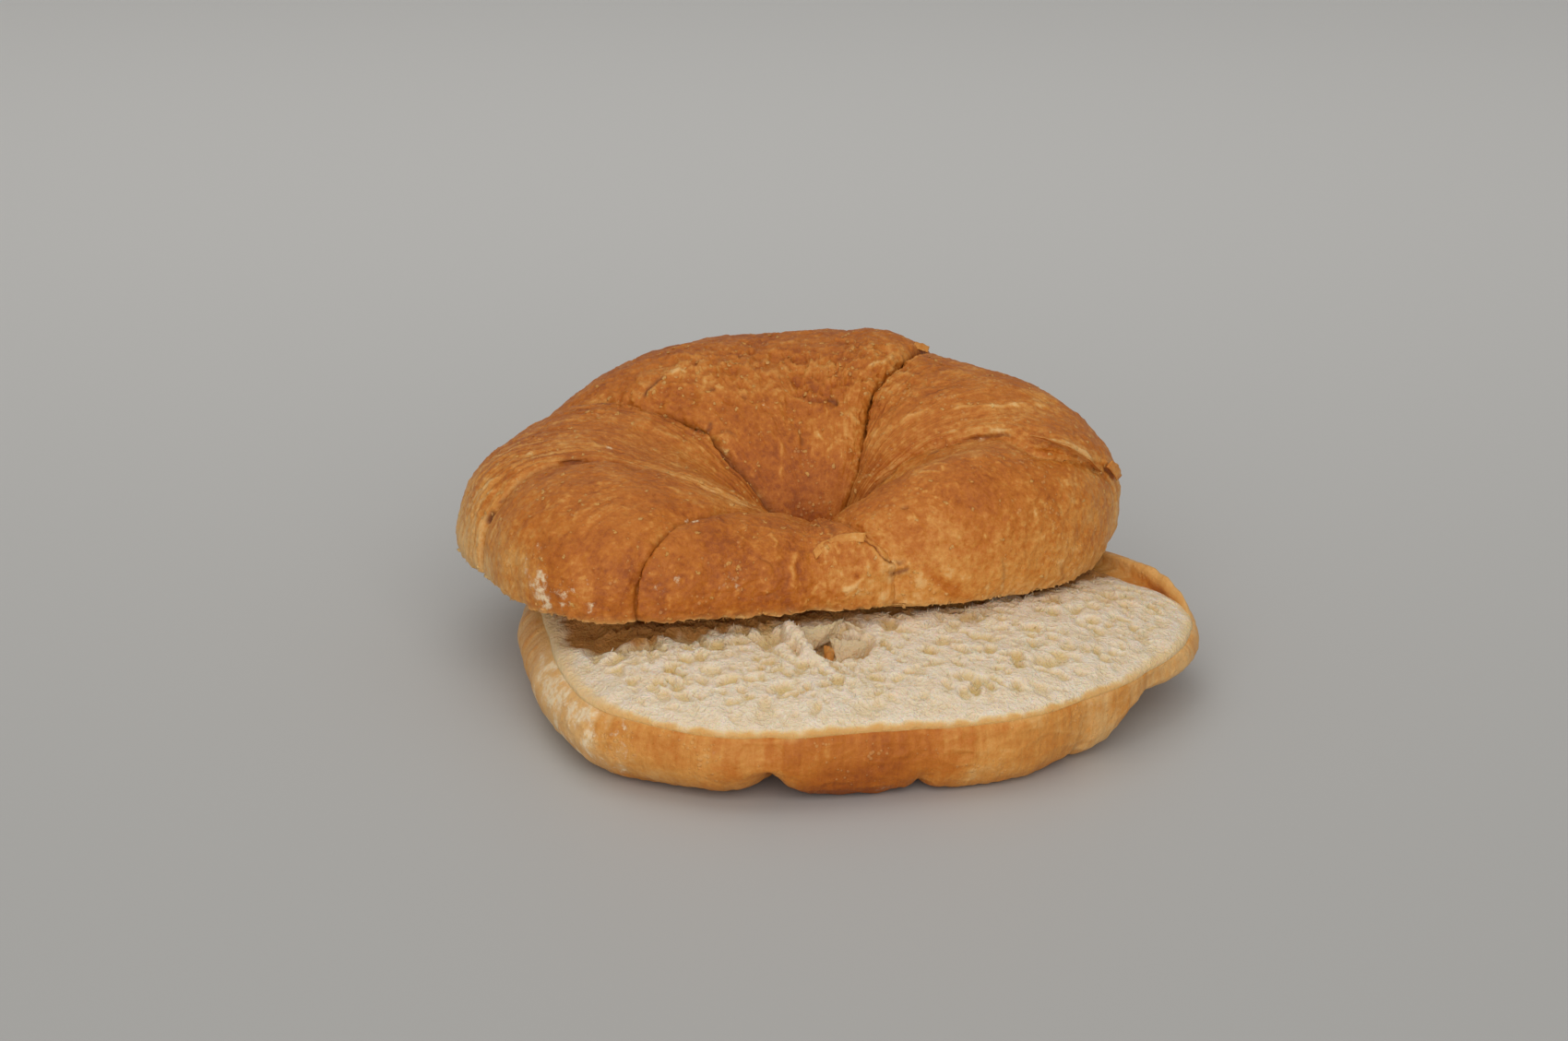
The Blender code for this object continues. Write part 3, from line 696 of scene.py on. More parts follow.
def make_base_crumb():
    """Crumb that fills the bottom crust: the cut face, a short skirt and a closed underside."""
    u, v = disc_grid(CRUMB_SIDE)
    out = np.hypot(u, v)
    angle = np.degrees(np.arctan2(v, u))
    first_start, first_depth = BASE_GROOVES[0]
    starts, depths = np.array([*BASE_GROOVES, (first_start + 360, first_depth)], float).T
    turn = (angle - first_start) % 360 + first_start
    lobe = np.searchsorted(starts, turn, side="right") - 1
    share = (turn - starts[lobe]) / (starts[lobe + 1] - starts[lobe])
    dip = notch(share, 1.0) * ((1 - share) * depths[lobe] + share * depths[lobe + 1])
    covered = 1 - smooth(3 * crust_wall(angle))
    rim = round_the_ring(BASE_RIM, 1, angle) - BASE_GROOVE_LEFT[1] * dip
    reach = rim - 0.10 * covered - (BASE_CRUST - 0.3) * (1 - covered)
    radius = out * reach
    x, y = around(BASE_MIDDLE, radius, angle)
    flat = np.stack([x, y, 0 * x], axis=-1)
    z = CRUMB_TOP - (CRUMB_TOP - base_edge(angle)[1]) * (radius / rim)**CRUMB_DOME
    z = np.minimum(z, cut_height(x, y) - CUT_GAP)
    from_rim = reach - radius
    inner = smooth((from_rim - 1.5) / 9)
    relief, bubble = crumb_relief(x, y, inner, 20, SMALL_BUBBLES, BUBBLES)
    away = np.hypot((x - PIT_MIDDLE[0]) / PIT_SIZE[0], (y - PIT_MIDDLE[1]) / PIT_SIZE[1])
    away += lumps(flat, [(6, 0.22, 31), (2, 0.12, 32)])
    pit = smooth(3.0 * (1 - away))
    relief -= PIT_DEPTH * pit
    for start, end in zip(TUFT, TUFT[1:]):
        step = np.subtract(end, start)
        t = np.clip(((x - start[0]) * step[0] + (y - start[1]) * step[1]) / (step[:2] @ step[:2]), 0, 1)
        beside = np.hypot(x - start[0] - t * step[0], y - start[1] - t * step[1])
        tuft = smooth(1.3 - beside / 1.5 + 0.4 * noise(flat, 1.2, 33))
        relief = relief * (1 - tuft) + tuft * (start[2] + t * step[2])
        pit = pit * (1 - tuft)
        bubble = bubble * (1 - tuft)
    # Painted shade: the pit takes the bubbles' darker colour.
    bubble = np.clip(bubble * (1 - pit) + 0.7 * pit, 0, 1)
    roof = cut_height(x, y) - 0.12
    relief = np.where(z > roof - CUT_GAP - 1.0, np.minimum(relief, roof - z), relief)
    z = z + relief * smooth((from_rim + 0.4) / 2.4)
    roll_reach, roll_depth = CRUMB_ROLL
    rolled = np.clip(1 - from_rim / roll_reach, 0, 1)
    z -= covered * roll_depth * (1 - np.sqrt(1 - rolled**2 * 0.97))
    margin, browned = (round_the_ring(CRUMB_MARGIN, k, angle) for k in (1, 2))
    ragged = 0.5 * noise(flat, 4, 35) + 0.25 * noise(flat, 1.4, 36) + 0.20 * margin * noise(flat, 2.4, 39)
    edge = browned * smooth(1 - (from_rim + ragged) / margin)
    # Painted shade: warm brown under and just in front of the top half's edge, deeper in bubbles, and in the
    # pit.
    behind = y - np.interp(x, *np.array(CROWN_EDGE, float).T) + 1.5 * noise(flat, 3, 37)
    places, strengths, begins = np.array(CROWN_SHADE, float).T
    moist = smooth((behind + np.interp(x, places, begins)) / 7) * np.interp(x, places, strengths)
    moist = moist * np.clip(0.75 + 0.3 * noise(flat, 2.2, 38) + 0.5 * bubble, 0, 1)
    moist = np.maximum(moist, 0.95 * smooth((behind - 2) / 3)) * smooth((from_rim + 2) / 3)
    moist = np.maximum(moist, 0.5 * pit)
    under_crown = smooth((behind - 3) / 3)
    loose = inner * (0.25 + 0.75 * smooth((behind + 7) / 6)) * (1 - 0.8 * bubble) * (1 - under_crown)

    top = np.stack([x, y, z], axis=-1)
    ring = top[outer_loop(np.arange(len(top)).reshape(CRUMB_SIDE, -1))]
    inward = np.array([*BASE_MIDDLE, 0.0]) - ring * (1, 1, 0)
    inward /= np.linalg.norm(inward, axis=1, keepdims=True)
    skirt = ring + inward * CRUMB_SKIRT[0] - (0, 0, CRUMB_SKIRT[1])
    values = dict(bubble=(bubble, 0), edge=(edge, 1), moist=(moist, 0), loose=(loose, 0))
    return disc_piece("bottom_crumb", top, skirt, (*BASE_MIDDLE, CRUMB_FOOT), values)


bottom_crumb = make_base_crumb()
lay_in_place(bottom_crumb)
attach(bottom_crumb, "root")
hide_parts("bottom_half")

# ---------------------------------------------------------------------------------------------
# Torn sheets in the pit: thin walls of large bubbles, which the navel's bottom pulled apart, and
# among them a bit of that bottom, browned like crust. They stand in the crumb that they belong to.
# ---------------------------------------------------------------------------------------------

# Each sheet's upper and lower edge, three points each, and its values for the material; all but the edge
# value are painted shade in the pit.
PIT_SHEETS = [
    ("pit_wall", [(-0.6, -31.0, 19.0), (4.4, -30.6, 19.2), (7.8, -26.9, 19.2)],
     [(-0.4, -36.6, 15.0), (2.8, -32.8, 15.4), (6.0, -30.3, 15.8)], dict(bubble=0.55, edge=0.20, moist=0.55)),
    ("pit_strand", [(7.9, -29.2, 19.2), (10.6, -31.4, 18.9), (13.6, -34.1, 18.4)],
     [(8.5, -28.6, 17.2), (10.7, -31.0, 17.0), (13.0, -32.6, 16.6)],
     dict(bubble=0.10, edge=0.10, moist=0.25)),
    ("pit_floor", [(5.0, -32.4, 17.2), (8.8, -33.6, 17.4), (12.6, -33.4, 17.6)],
     [(6.7, -37.4, 13.9), (8.8, -36.3, 14.4), (12.6, -35.4, 15.2)], dict(bubble=0.35, edge=0.15, moist=0.38)),
]
NAVEL_BIT = ([(4.0, -33.4, 15.7), (5.1, -34.0, 16.0), (6.1, -34.2, 15.5)],
             [(4.2, -37.9, 14.1), (5.0, -38.7, 14.2), (5.8, -37.4, 14.1)])
SHEET_GRID = (26, 12)            # points along a sheet and from its lower to its upper edge
SHEET_THICKNESS = (0.32, 0.10)   # at its lower edge and at its upper one


def make_sheet(name, upper, lower, values, material, seed):
    """Thin closed sheet between two edges, bulging a little, with its upper edge ragged."""
    across, down = SHEET_GRID
    s = np.linspace(0, 1, across)
    weights = np.stack([(1 - s) * (1 - 2 * s), 4 * s * (1 - s), s * (2 * s - 1)], axis=-1)
    top, bottom = (weights @ np.array(line, float) for line in (upper, lower))
    t = np.linspace(0, 1, down)[:, None, None]
    ragged = 1 + 0.12 * noise(top, 1.1, seed) + 0.07 * noise(top, 0.5, seed)
    grid = bottom + (top - bottom) * t * ragged[:, None]
    normal = np.cross(top[-1] - top[0], top[across // 2] - bottom[across // 2])
    normal /= np.linalg.norm(normal)
    bulge = 0.45 * np.sin(math.pi * s)[None] * np.sin(math.pi * t[..., 0])
    bulge = bulge + 0.30 * noise(grid, 1.6, seed + 1) + 0.10 * noise(grid, 0.6, seed + 2)
    bulge = bulge * min(1.0, np.linalg.norm(top - bottom, axis=1).mean() / 4)
    grid = grid + normal * bulge[..., None]
    foot, tip = SHEET_THICKNESS
    half = normal * (foot + (tip - foot) * t) / 2
    numbers = np.arange(across * down).reshape(down, across)
    loop = outer_loop(numbers)
    front = grid_faces(numbers)
    faces = front + [tuple(n + numbers.size for n in reversed(face)) for face in front]
    faces += [(b, a, a + numbers.size, b + numbers.size) for a, b in zip(loop, loop[1:] + loop[:1])]
    points = np.vstack([(grid + half).reshape(-1, 3), (grid - half).reshape(-1, 3)])
    attributes = {key: np.full(len(points), value) for key, value in values.items()}
    return make_piece(name, points, faces, attributes, material)


sheets = [make_sheet(name, upper, lower, values, OPEN_CRUMB, 90 + 5 * i)
          for i, (name, upper, lower, values) in enumerate(PIT_SHEETS)]
# The navel bit's dark value is painted shade in the pit.
sheets.append(make_sheet("navel_bit", *NAVEL_BIT, dict(bake=0.35, mottled=0.9, dark=0.15), BAKED_CRUST, 110))
for sheet in sheets:
    lay_in_place(sheet)
    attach(sheet, "root")
    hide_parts("bottom_half")

# ---------------------------------------------------------------------------------------------
# Shreds of the bottom crumb: fine strands that the knife pulled out of the bubbles' walls. Most
# stand near the top half's edge, where the crumb was torn rather than cut.
# ---------------------------------------------------------------------------------------------

# Density is the number on a square metre where the attribute is 1, Lean the largest angle in radians
# about each of two axes off the surface's normal, and Least and Largest scale the shape.
SHREDS = {"Density": 360000.0, "Least": 0.3, "Largest": 0.95, "Lean": 1.1, "Seed": 3}


def scatter_group():
    """Geometry node group: small shapes strewn over a surface where one of its attributes is high."""
    tree, given, outside = new_group(
        "scatter", "GeometryNodeTree",
        dict(Surface="Geometry", Shape="Object", Where="String", Density="Float", Least="Float",
             Largest="Float", Lean="Float", Seed="Int", Material="Material"), dict(Pieces="Geometry"))
    where = add(tree, "GeometryNodeInputNamedAttribute", dict(data_type="FLOAT"), Name=given["Where"])
    density = calc(tree, "MULTIPLY", where.outputs["Attribute"], given["Density"])
    points = add(tree, "GeometryNodeDistributePointsOnFaces", Mesh=given["Surface"], Density=density,
                 Seed=given["Seed"])
    lean = add(tree, "CombineXYZ", X=given["Lean"], Y=given["Lean"], Z=math.pi)
    back = add(tree, "VectorMath", dict(operation="SCALE"), Vector=lean.outputs[0], Scale=-1.0)
    turn = add(tree, "FunctionNodeRandomValue", dict(data_type="FLOAT_VECTOR"), Min=back.outputs[0],
               Max=lean.outputs[0], Seed=given["Seed"])
    turn = add(tree, "FunctionNodeEulerToRotation", Euler=turn.outputs[0])
    turn = add(tree, "FunctionNodeRotateRotation", dict(rotation_space="LOCAL"),
               Rotation=points.outputs["Rotation"], Rotate_By=turn.outputs[0])
    size = add(tree, "FunctionNodeRandomValue", dict(data_type="FLOAT"), Min=given["Least"],
               Max=given["Largest"], Seed=given["Seed"])
    size = next(socket for socket in size.outputs if socket.enabled)
    shape = add(tree, "GeometryNodeObjectInfo", Object=given["Shape"])
    strewn = add(tree, "GeometryNodeInstanceOnPoints", Points=points.outputs["Points"],
                 Instance=shape.outputs["Geometry"], Rotation=turn.outputs[0], Scale=size)
    real = add(tree, "GeometryNodeRealizeInstances", Geometry=strewn.outputs[0])
    made = add(tree, "GeometryNodeSetMaterial", Geometry=real.outputs[0], Material=given["Material"])
    tree.links.new(made.outputs[0], outside[0])
    return tree


def strewn_over(name, surface, shape, where, material, settings):
    """Plain mesh object of the small shapes that the scatter nodes strew over a surface."""
    piece = bpy.data.objects.new(name, surface.data)
    bpy.context.scene.collection.objects.link(piece)
    modifier = piece.modifiers.new("scatter", "NODES")
    modifier.node_group = SCATTER
    given = {"Shape": shape, "Where": where, "Material": material, **settings}
    for item in SCATTER.interface.items_tree:
        if item.in_out == "INPUT" and item.name in given:
            modifier[item.identifier] = given[item.name]
    mesh = bpy.data.meshes.new_from_object(piece.evaluated_get(bpy.context.evaluated_depsgraph_get()))
    piece.modifiers.remove(modifier)
    piece.data = mesh
    mesh.name = name
    return piece


SHAPE_SIDES = 5                  # points round each ring of a small shape


def make_shape(name, rings):
    """Small closed shape to strew: rings of points in mm, each as (z, radius, bend, stretch)."""
    random = np.random.default_rng(len(name))
    points = []
    for z, radius, bend, stretch in rings:
        for k in range(SHAPE_SIDES):
            turn = 2 * math.pi * k / SHAPE_SIDES
            r = radius * random.uniform(0.65, 1.3)
            points.append((bend + r * stretch * math.cos(turn), r * math.sin(turn),
                           z + 0.2 * r * math.cos(2 * turn)))
    numbers = np.arange(len(points)).reshape(-1, SHAPE_SIDES)
    faces = grid_faces(np.hstack([numbers, numbers[:, :1]]))
    faces += [tuple(numbers[0, ::-1].tolist()), tuple(numbers[-1].tolist())]
    return make_piece(name, np.array(points), faces, {}, BAKED_CRUST)


SCATTER = scatter_group()
shred_shape = make_shape("shred_shape", [(-0.15, 0.16, 0.0, 1.6), (0.45, 0.11, 0.15, 1.2),
                                         (0.95, 0.03, 0.45, 1.0)])
shreds = strewn_over("crumb_shreds", bottom_crumb, shred_shape, "loose", OPEN_CRUMB, SHREDS)
bpy.data.objects.remove(shred_shape)
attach(shreds, "root")
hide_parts("bottom_half")

# ---------------------------------------------------------------------------------------------
# Crust of the top half: seven wraps of laminated dough round a pinched navel, browned on the
# crests and paler at the ends. The layers show as lines along the wraps, the rear wrap's crest is
# blistered, and the knife left a ragged lower edge. The skin is made of three closed pieces.
# ---------------------------------------------------------------------------------------------

TOP_NAVEL = (3.0, 0.0)           # middle of the navel in plan, in the top half's own frame
TOP_NAVEL_FLOOR = 5.0            # floor of the navel above the cut
TOP_NAVEL_SLIT = (9.0, 4.0)      # half length and half width of that floor
# Round that navel: (angle, radius of the rim),
TOP_RIM = [(12, 61.8), (40, 60.2), (65, 62.0), (90, 63.0), (115, 66.5), (140, 69.5), (160, 70.4),
           (179, 70.6), (193, 66.0), (205, 63.5), (219, 60.5), (229, 52.5), (242, 40.5), (258, 33.5),
           (290, 29.0), (323, 37.0), (344, 47.0), (357, 54.5)]
# (angle, height of the crest),
TOP_CREST = [(5, 28.0), (14, 29.4), (30, 32.4), (46, 33.0), (57, 33.6), (66, 36.2), (72, 37.0),
             (85, 36.2), (104, 34.9), (120, 34.4), (132, 33.0), (142, 30.4), (151, 27.0), (160, 25.0),
             (180, 23.0), (205, 22.0), (230, 17.5), (262, 14.5), (300, 18.0), (335, 25.0)]
# and how browned it is, as (angle, at the navel, on the crest, at the rim).
TOP_BAKE = [(10, 0.62, 0.66, 0.16), (35, 0.66, 0.70, 0.40), (75, 0.80, 0.80, 0.62),
            (120, 0.80, 0.80, 0.58), (150, 0.80, 0.78, 0.40), (172, 0.74, 0.69, 0.04),
            (188, 0.70, 0.65, 0.04), (205, 0.62, 0.74, 0.28), (222, 0.62, 0.76, 0.76),
            (245, 0.72, 0.82, 0.88), (262, 0.66, 0.76, 0.80), (278, 0.62, 0.72, 0.62),
            (298, 0.60, 0.62, 0.44), (320, 0.66, 0.76, 0.38), (345, 0.62, 0.66, 0.26)]
# Wraps, counter-clockwise from the right. The groove that starts each one runs through five angles
# from the navel to the rim, and its crack opens as far as the five shares say. The lips are how
# steeply the wrap ends at this groove and at the next one.
TOP_WRAPS = [
    dict(name="right", groove=(30, 16, 5.5, -3.5, 9), crack=(0.4, 0.0, 0.15, 0.1, 0.1), depth=3.0,
         lips=(0.5, 0.6), crest_at=0.60, widest=10, undercut=0.06, layers=0.75),
    dict(name="rear", groove=(43, 63.5, 63.5, 62.5, 64), crack=(0.4, 0.5, 0.7, 1.0, 0.5), depth=5.0,
         lips=(0.7, 0.5), crest_at=0.63, widest=8, undercut=0.05, layers=0.25),
    dict(name="left rear", groove=(161, 150.5, 150, 151, 153), crack=(0.8, 0.9, 0.35, 0.4, 0.3), depth=3.4,
         lips=(0.4, 0.6), crest_at=0.58, widest=4, undercut=0.02, layers=1.0),
    dict(name="left front", groove=(234, 216.5, 189.5, 187, 191), crack=(0.1, 0.1, 0.2, 0.6, 0.3), depth=2.4,
         lips=(0.2, 0.2), crest_at=0.58, widest=3, undercut=0.01, layers=0.35),
    dict(name="front", groove=(248, 234, 228, 227.5, 228.5), crack=(0.0, 0.1, 0.3, 0.55, 0.5), depth=2.4,
         lips=(0.5, 0.1), crest_at=0.52, widest=4, undercut=0.02, layers=0.2),
    dict(name="horn tip", groove=(264, 262, 262, 264, 268), crack=(0.0, 0.0, 0.0, 0.0, 0.0), depth=0.8,
         lips=(0.2, 0.9), crest_at=0.53, widest=4, undercut=0.02, layers=0.5),
    dict(name="right front", groove=(272, 274, 279, 288, 300), crack=(0.5, 0.0, 0.0, 0.0, 0.0), depth=2.6,
         lips=(0.2, 0.1), crest_at=0.56, widest=7, undercut=0.05, layers=0.15),
]
TOP_INNER_ROUND = 1.7            # exponent of the profile from navel to crest; 2 is an ellipse
TOP_OUTER_ROUND = 2.15           # the same from crest to rim
TOP_CRUST = 1.5                  # thickness of the crust at the cut,
TOP_CRUST_INSIDE = 6             # and how deep the skin's hidden inner side lies elsewhere
TOP_COLUMNS = 1000               # columns round the ring, shared out among the wraps
TOP_OUTER_ROW = 60               # a row on the outer side, where normals point away from the navel
TOP_ROUND = 45                   # radius at which patterns that run round the ring have their size
# Shares of each wrap's way round at which the coarse inner side has its columns.
BACK_COLUMNS = (0, 0.03, 0.08, 0.18, 0.3, 0.42, 0.54, 0.66, 0.78, 0.88, 0.95, 0.98)
CRACK_WIDTH = (0.28, 0.58)       # half width of the cracks between wraps, just open and wide open
CRACK_DEPTH = 1.0
# Relief of the whole skin, as (size of the lumps, height, seed),
TOP_LUMPS = [(17, 0.42, 51), (7, 0.28, 52), (3.2, 0.20, 53), (1.5, 0.13, 54), (0.8, 0.07, 55)]
# lines of the layers along the wraps, in the same way,
LAYER_LINES = [((1.0, 1.0, 30), 1.0, 56), ((2.4, 2.4, 45), 0.7, 57)]
# teeth of the torn cut edge, upwards and outwards,
TEETH_UP = [(5, 0.45, 67), (1.8, 0.45, 68), (0.9, 0.35, 69)]
TEETH_OUT = [(2.2, 0.35, 70), (0.9, 0.25, 71)]
# where the crest broke into crags, and where the layers show beside their own wraps, both as
# (x, y, half length along X, along Y, strength).
CRAG_SPOTS = [(-6, 26, 24, 11, 1.0), (14, 28, 10, 8, 0.5), (-36, 20, 12, 8, 0.3)]
LAYER_SPOTS = [(-60, 2, 10, 14, 0.9), (-38, -26, 4, 12, 0.5)]
CUT_TURN = Matrix.Translation((0, 0, CUT_HEIGHT * MM)) @ Matrix.Rotation(
    math.radians(CUT_TILT[1]), 4, "Y") @ Matrix.Rotation(math.radians(CUT_TILT[0]), 4, "X")

# Cracks in the skin, as (half width, depth, step, path over the skin): the skin on the right of the
# path is raised by the step, like the edge of a flap.
CRACKS = [
    # the horn tip's upper edge, and the fold that goes on from it
    (0.35, 0.1, 0.6, [(1.5, -27.5, 10.5), (2.7, -26.4, 11.8), (4.7, -24.9, 12.6), (7.3, -24.0, 13.1),
                      (9.5, -23.8, 13.9), (10.9, -24.0, 14.3), (12.3, -25.0, 12.7)]),
    (0.35, 0.6, 0.7, [(10.4, -23.9, 14.2), (12.3, -25.0, 12.7), (13.5, -25.3, 11.8), (14.5, -26.3, 10.8),
                      (15.4, -26.2, 9.7), (17.6, -24.5, 8.7), (19.6, -24.5, 9.2)]),
    (0.50, 0.5, 0.4, [(15.2, -26.3, 6.5), (17.8, -24.7, 7.0), (20.0, -24.8, 8.2)]),
    (0.80, 0.3, 0.0, [(4.6, -19.8, 14.5), (5.1, -21.8, 14.3), (5.1, -23.8, 13.4)]),
    # rear wrap: the slot at its left, the edges of the two thin sheets beside it, and small tears
    (0.45, 0.8, 0.5, [(-32.5, 21.5, 26.5), (-31.1, 23.9, 27.2), (-29.4, 25.2, 28.2), (-27.6, 26.3, 29.5)]),
    (0.40, 0.6, 0.7, [(-18.3, 15.0, 23.9), (-18.8, 14.1, 23.0), (-19.1, 13.7, 22.2), (-19.7, 13.7, 21.2)]),
    (0.35, 0.3, 0.4, [(-17.8, 12.9, 22.1), (-15.1, 13.0, 22.5), (-13.3, 12.0, 21.5)]),
    (0.50, 0.6, 0.0, [(-18.6, 12.8, 21.1), (-17.8, 12.0, 20.4)]),
    (0.45, 0.5, 0.0, [(-19.5, 20.4, 28.6), (-18.2, 21.3, 28.6)]),
    (0.40, 0.4, 0.0, [(-12.7, 19.3, 28.4), (-11.7, 18.2, 27.6)]),
    (0.30, 0.4, 0.3, [(-1.4, 14.6, 23.4), (-1.0, 12.7, 21.7), (-0.4, 11.2, 20.2)]),
    (0.55, 0.8, 0.0, [(4.0, 20.5, 27.6), (6.3, 18.5, 27.7)]),
    # right wrap: layer lines, and the torn edge with the cavities under it
    (0.40, 0.3, 0.2, [(22.8, 17.5, 29.7), (26.4, 18.2, 30.9), (30.5, 19.0, 31.7)]),
    (0.40, 0.5, 0.3, [(26.2, 5.8, 22.5), (24.8, 4.9, 22.0), (23.2, 4.8, 21.3)]),
    (0.35, 0.5, 0.3, [(40.3, 1.2, 26.7), (38.7, 2.3, 26.9), (36.7, 3.3, 26.5), (33.3, 4.9, 25.1),
                      (29.7, 5.3, 23.9)]),
    (0.35, 0.25, 0.55, [(56.8, 4.5, 19.1), (55.3, 2.9, 20.9), (53.7, 1.8, 22.1), (51.7, 0.3, 23.8),
                        (49.8, 0.2, 25.2), (47.7, 0.1, 25.9), (45.2, -1.4, 26.1), (43.2, -0.2, 27.0)]),
    (0.45, 0.6, 0.7, [(61.8, 9.2, 16.0), (60.3, 7.2, 18.4), (58.8, 5.5, 20.0)]),
    (0.50, 0.5, 0.0, [(56.3, 3.8, 20.4), (57.2, 4.6, 19.3)]),
    (0.35, 0.2, 0.2, [(52.0, 5.1, 25.9), (52.7, 9.1, 26.3)]),
    (0.35, 0.2, 0.2, [(49.5, 10.8, 27.9), (51.1, 10.4, 27.4)]),
    # right front wrap: two pricks and two stretch marks
    (0.40, 0.35, 0.0, [(17.6, -19.7, 17.8), (19.4, -19.8, 18.1)]),
    (0.35, 0.22, 0.2, [(37.2, -20.1, 9.6), (37.6, -20.1, 6.0), (37.9, -18.9, 1.9)]),
    (0.35, 0.22, 0.2, [(49.0, -12.2, 5.6), (49.8, -9.4, 0.9)]),
    # left wraps: hollows under the layer's edge, and the slot that splits the left end
    (0.80, 0.45, -0.3, [(-47.5, -5.4, 20.6), (-45.6, -4.7, 21.0), (-43.3, -4.7, 21.0), (-41.3, -7.5, 21.6)]),
    (0.50, 0.4, 0.0, [(-40.7, -11.7, 22.0), (-40.3, -12.5, 22.0)]),
    (0.60, 0.35, -0.3, [(-34.5, -10.4, 22.2), (-32.0, -11.1, 21.8), (-30.3, -11.4, 21.7)]),
    (0.35, 0.5, 0.0, [(-55.8, -10.4, 16.2), (-57.2, -10.0, 14.5), (-58.3, -10.4, 13.4)]),
    (0.65, 0.7, 0.0, [(-58.9, -10.6, 12.6), (-59.8, -11.0, 11.3), (-60.5, -11.2, 9.3)]),
    # front wrap: the edges of small blisters
    (0.30, 0.22, 0.25, [(-8.9, -30.5, 11.4), (-6.6, -30.9, 10.1), (-5.0, -31.4, 8.4)]),
    (0.30, 0.22, 0.2, [(-7.6, -33.0, 4.0), (-5.6, -32.7, 4.9), (-3.9, -32.0, 3.1)]),
]
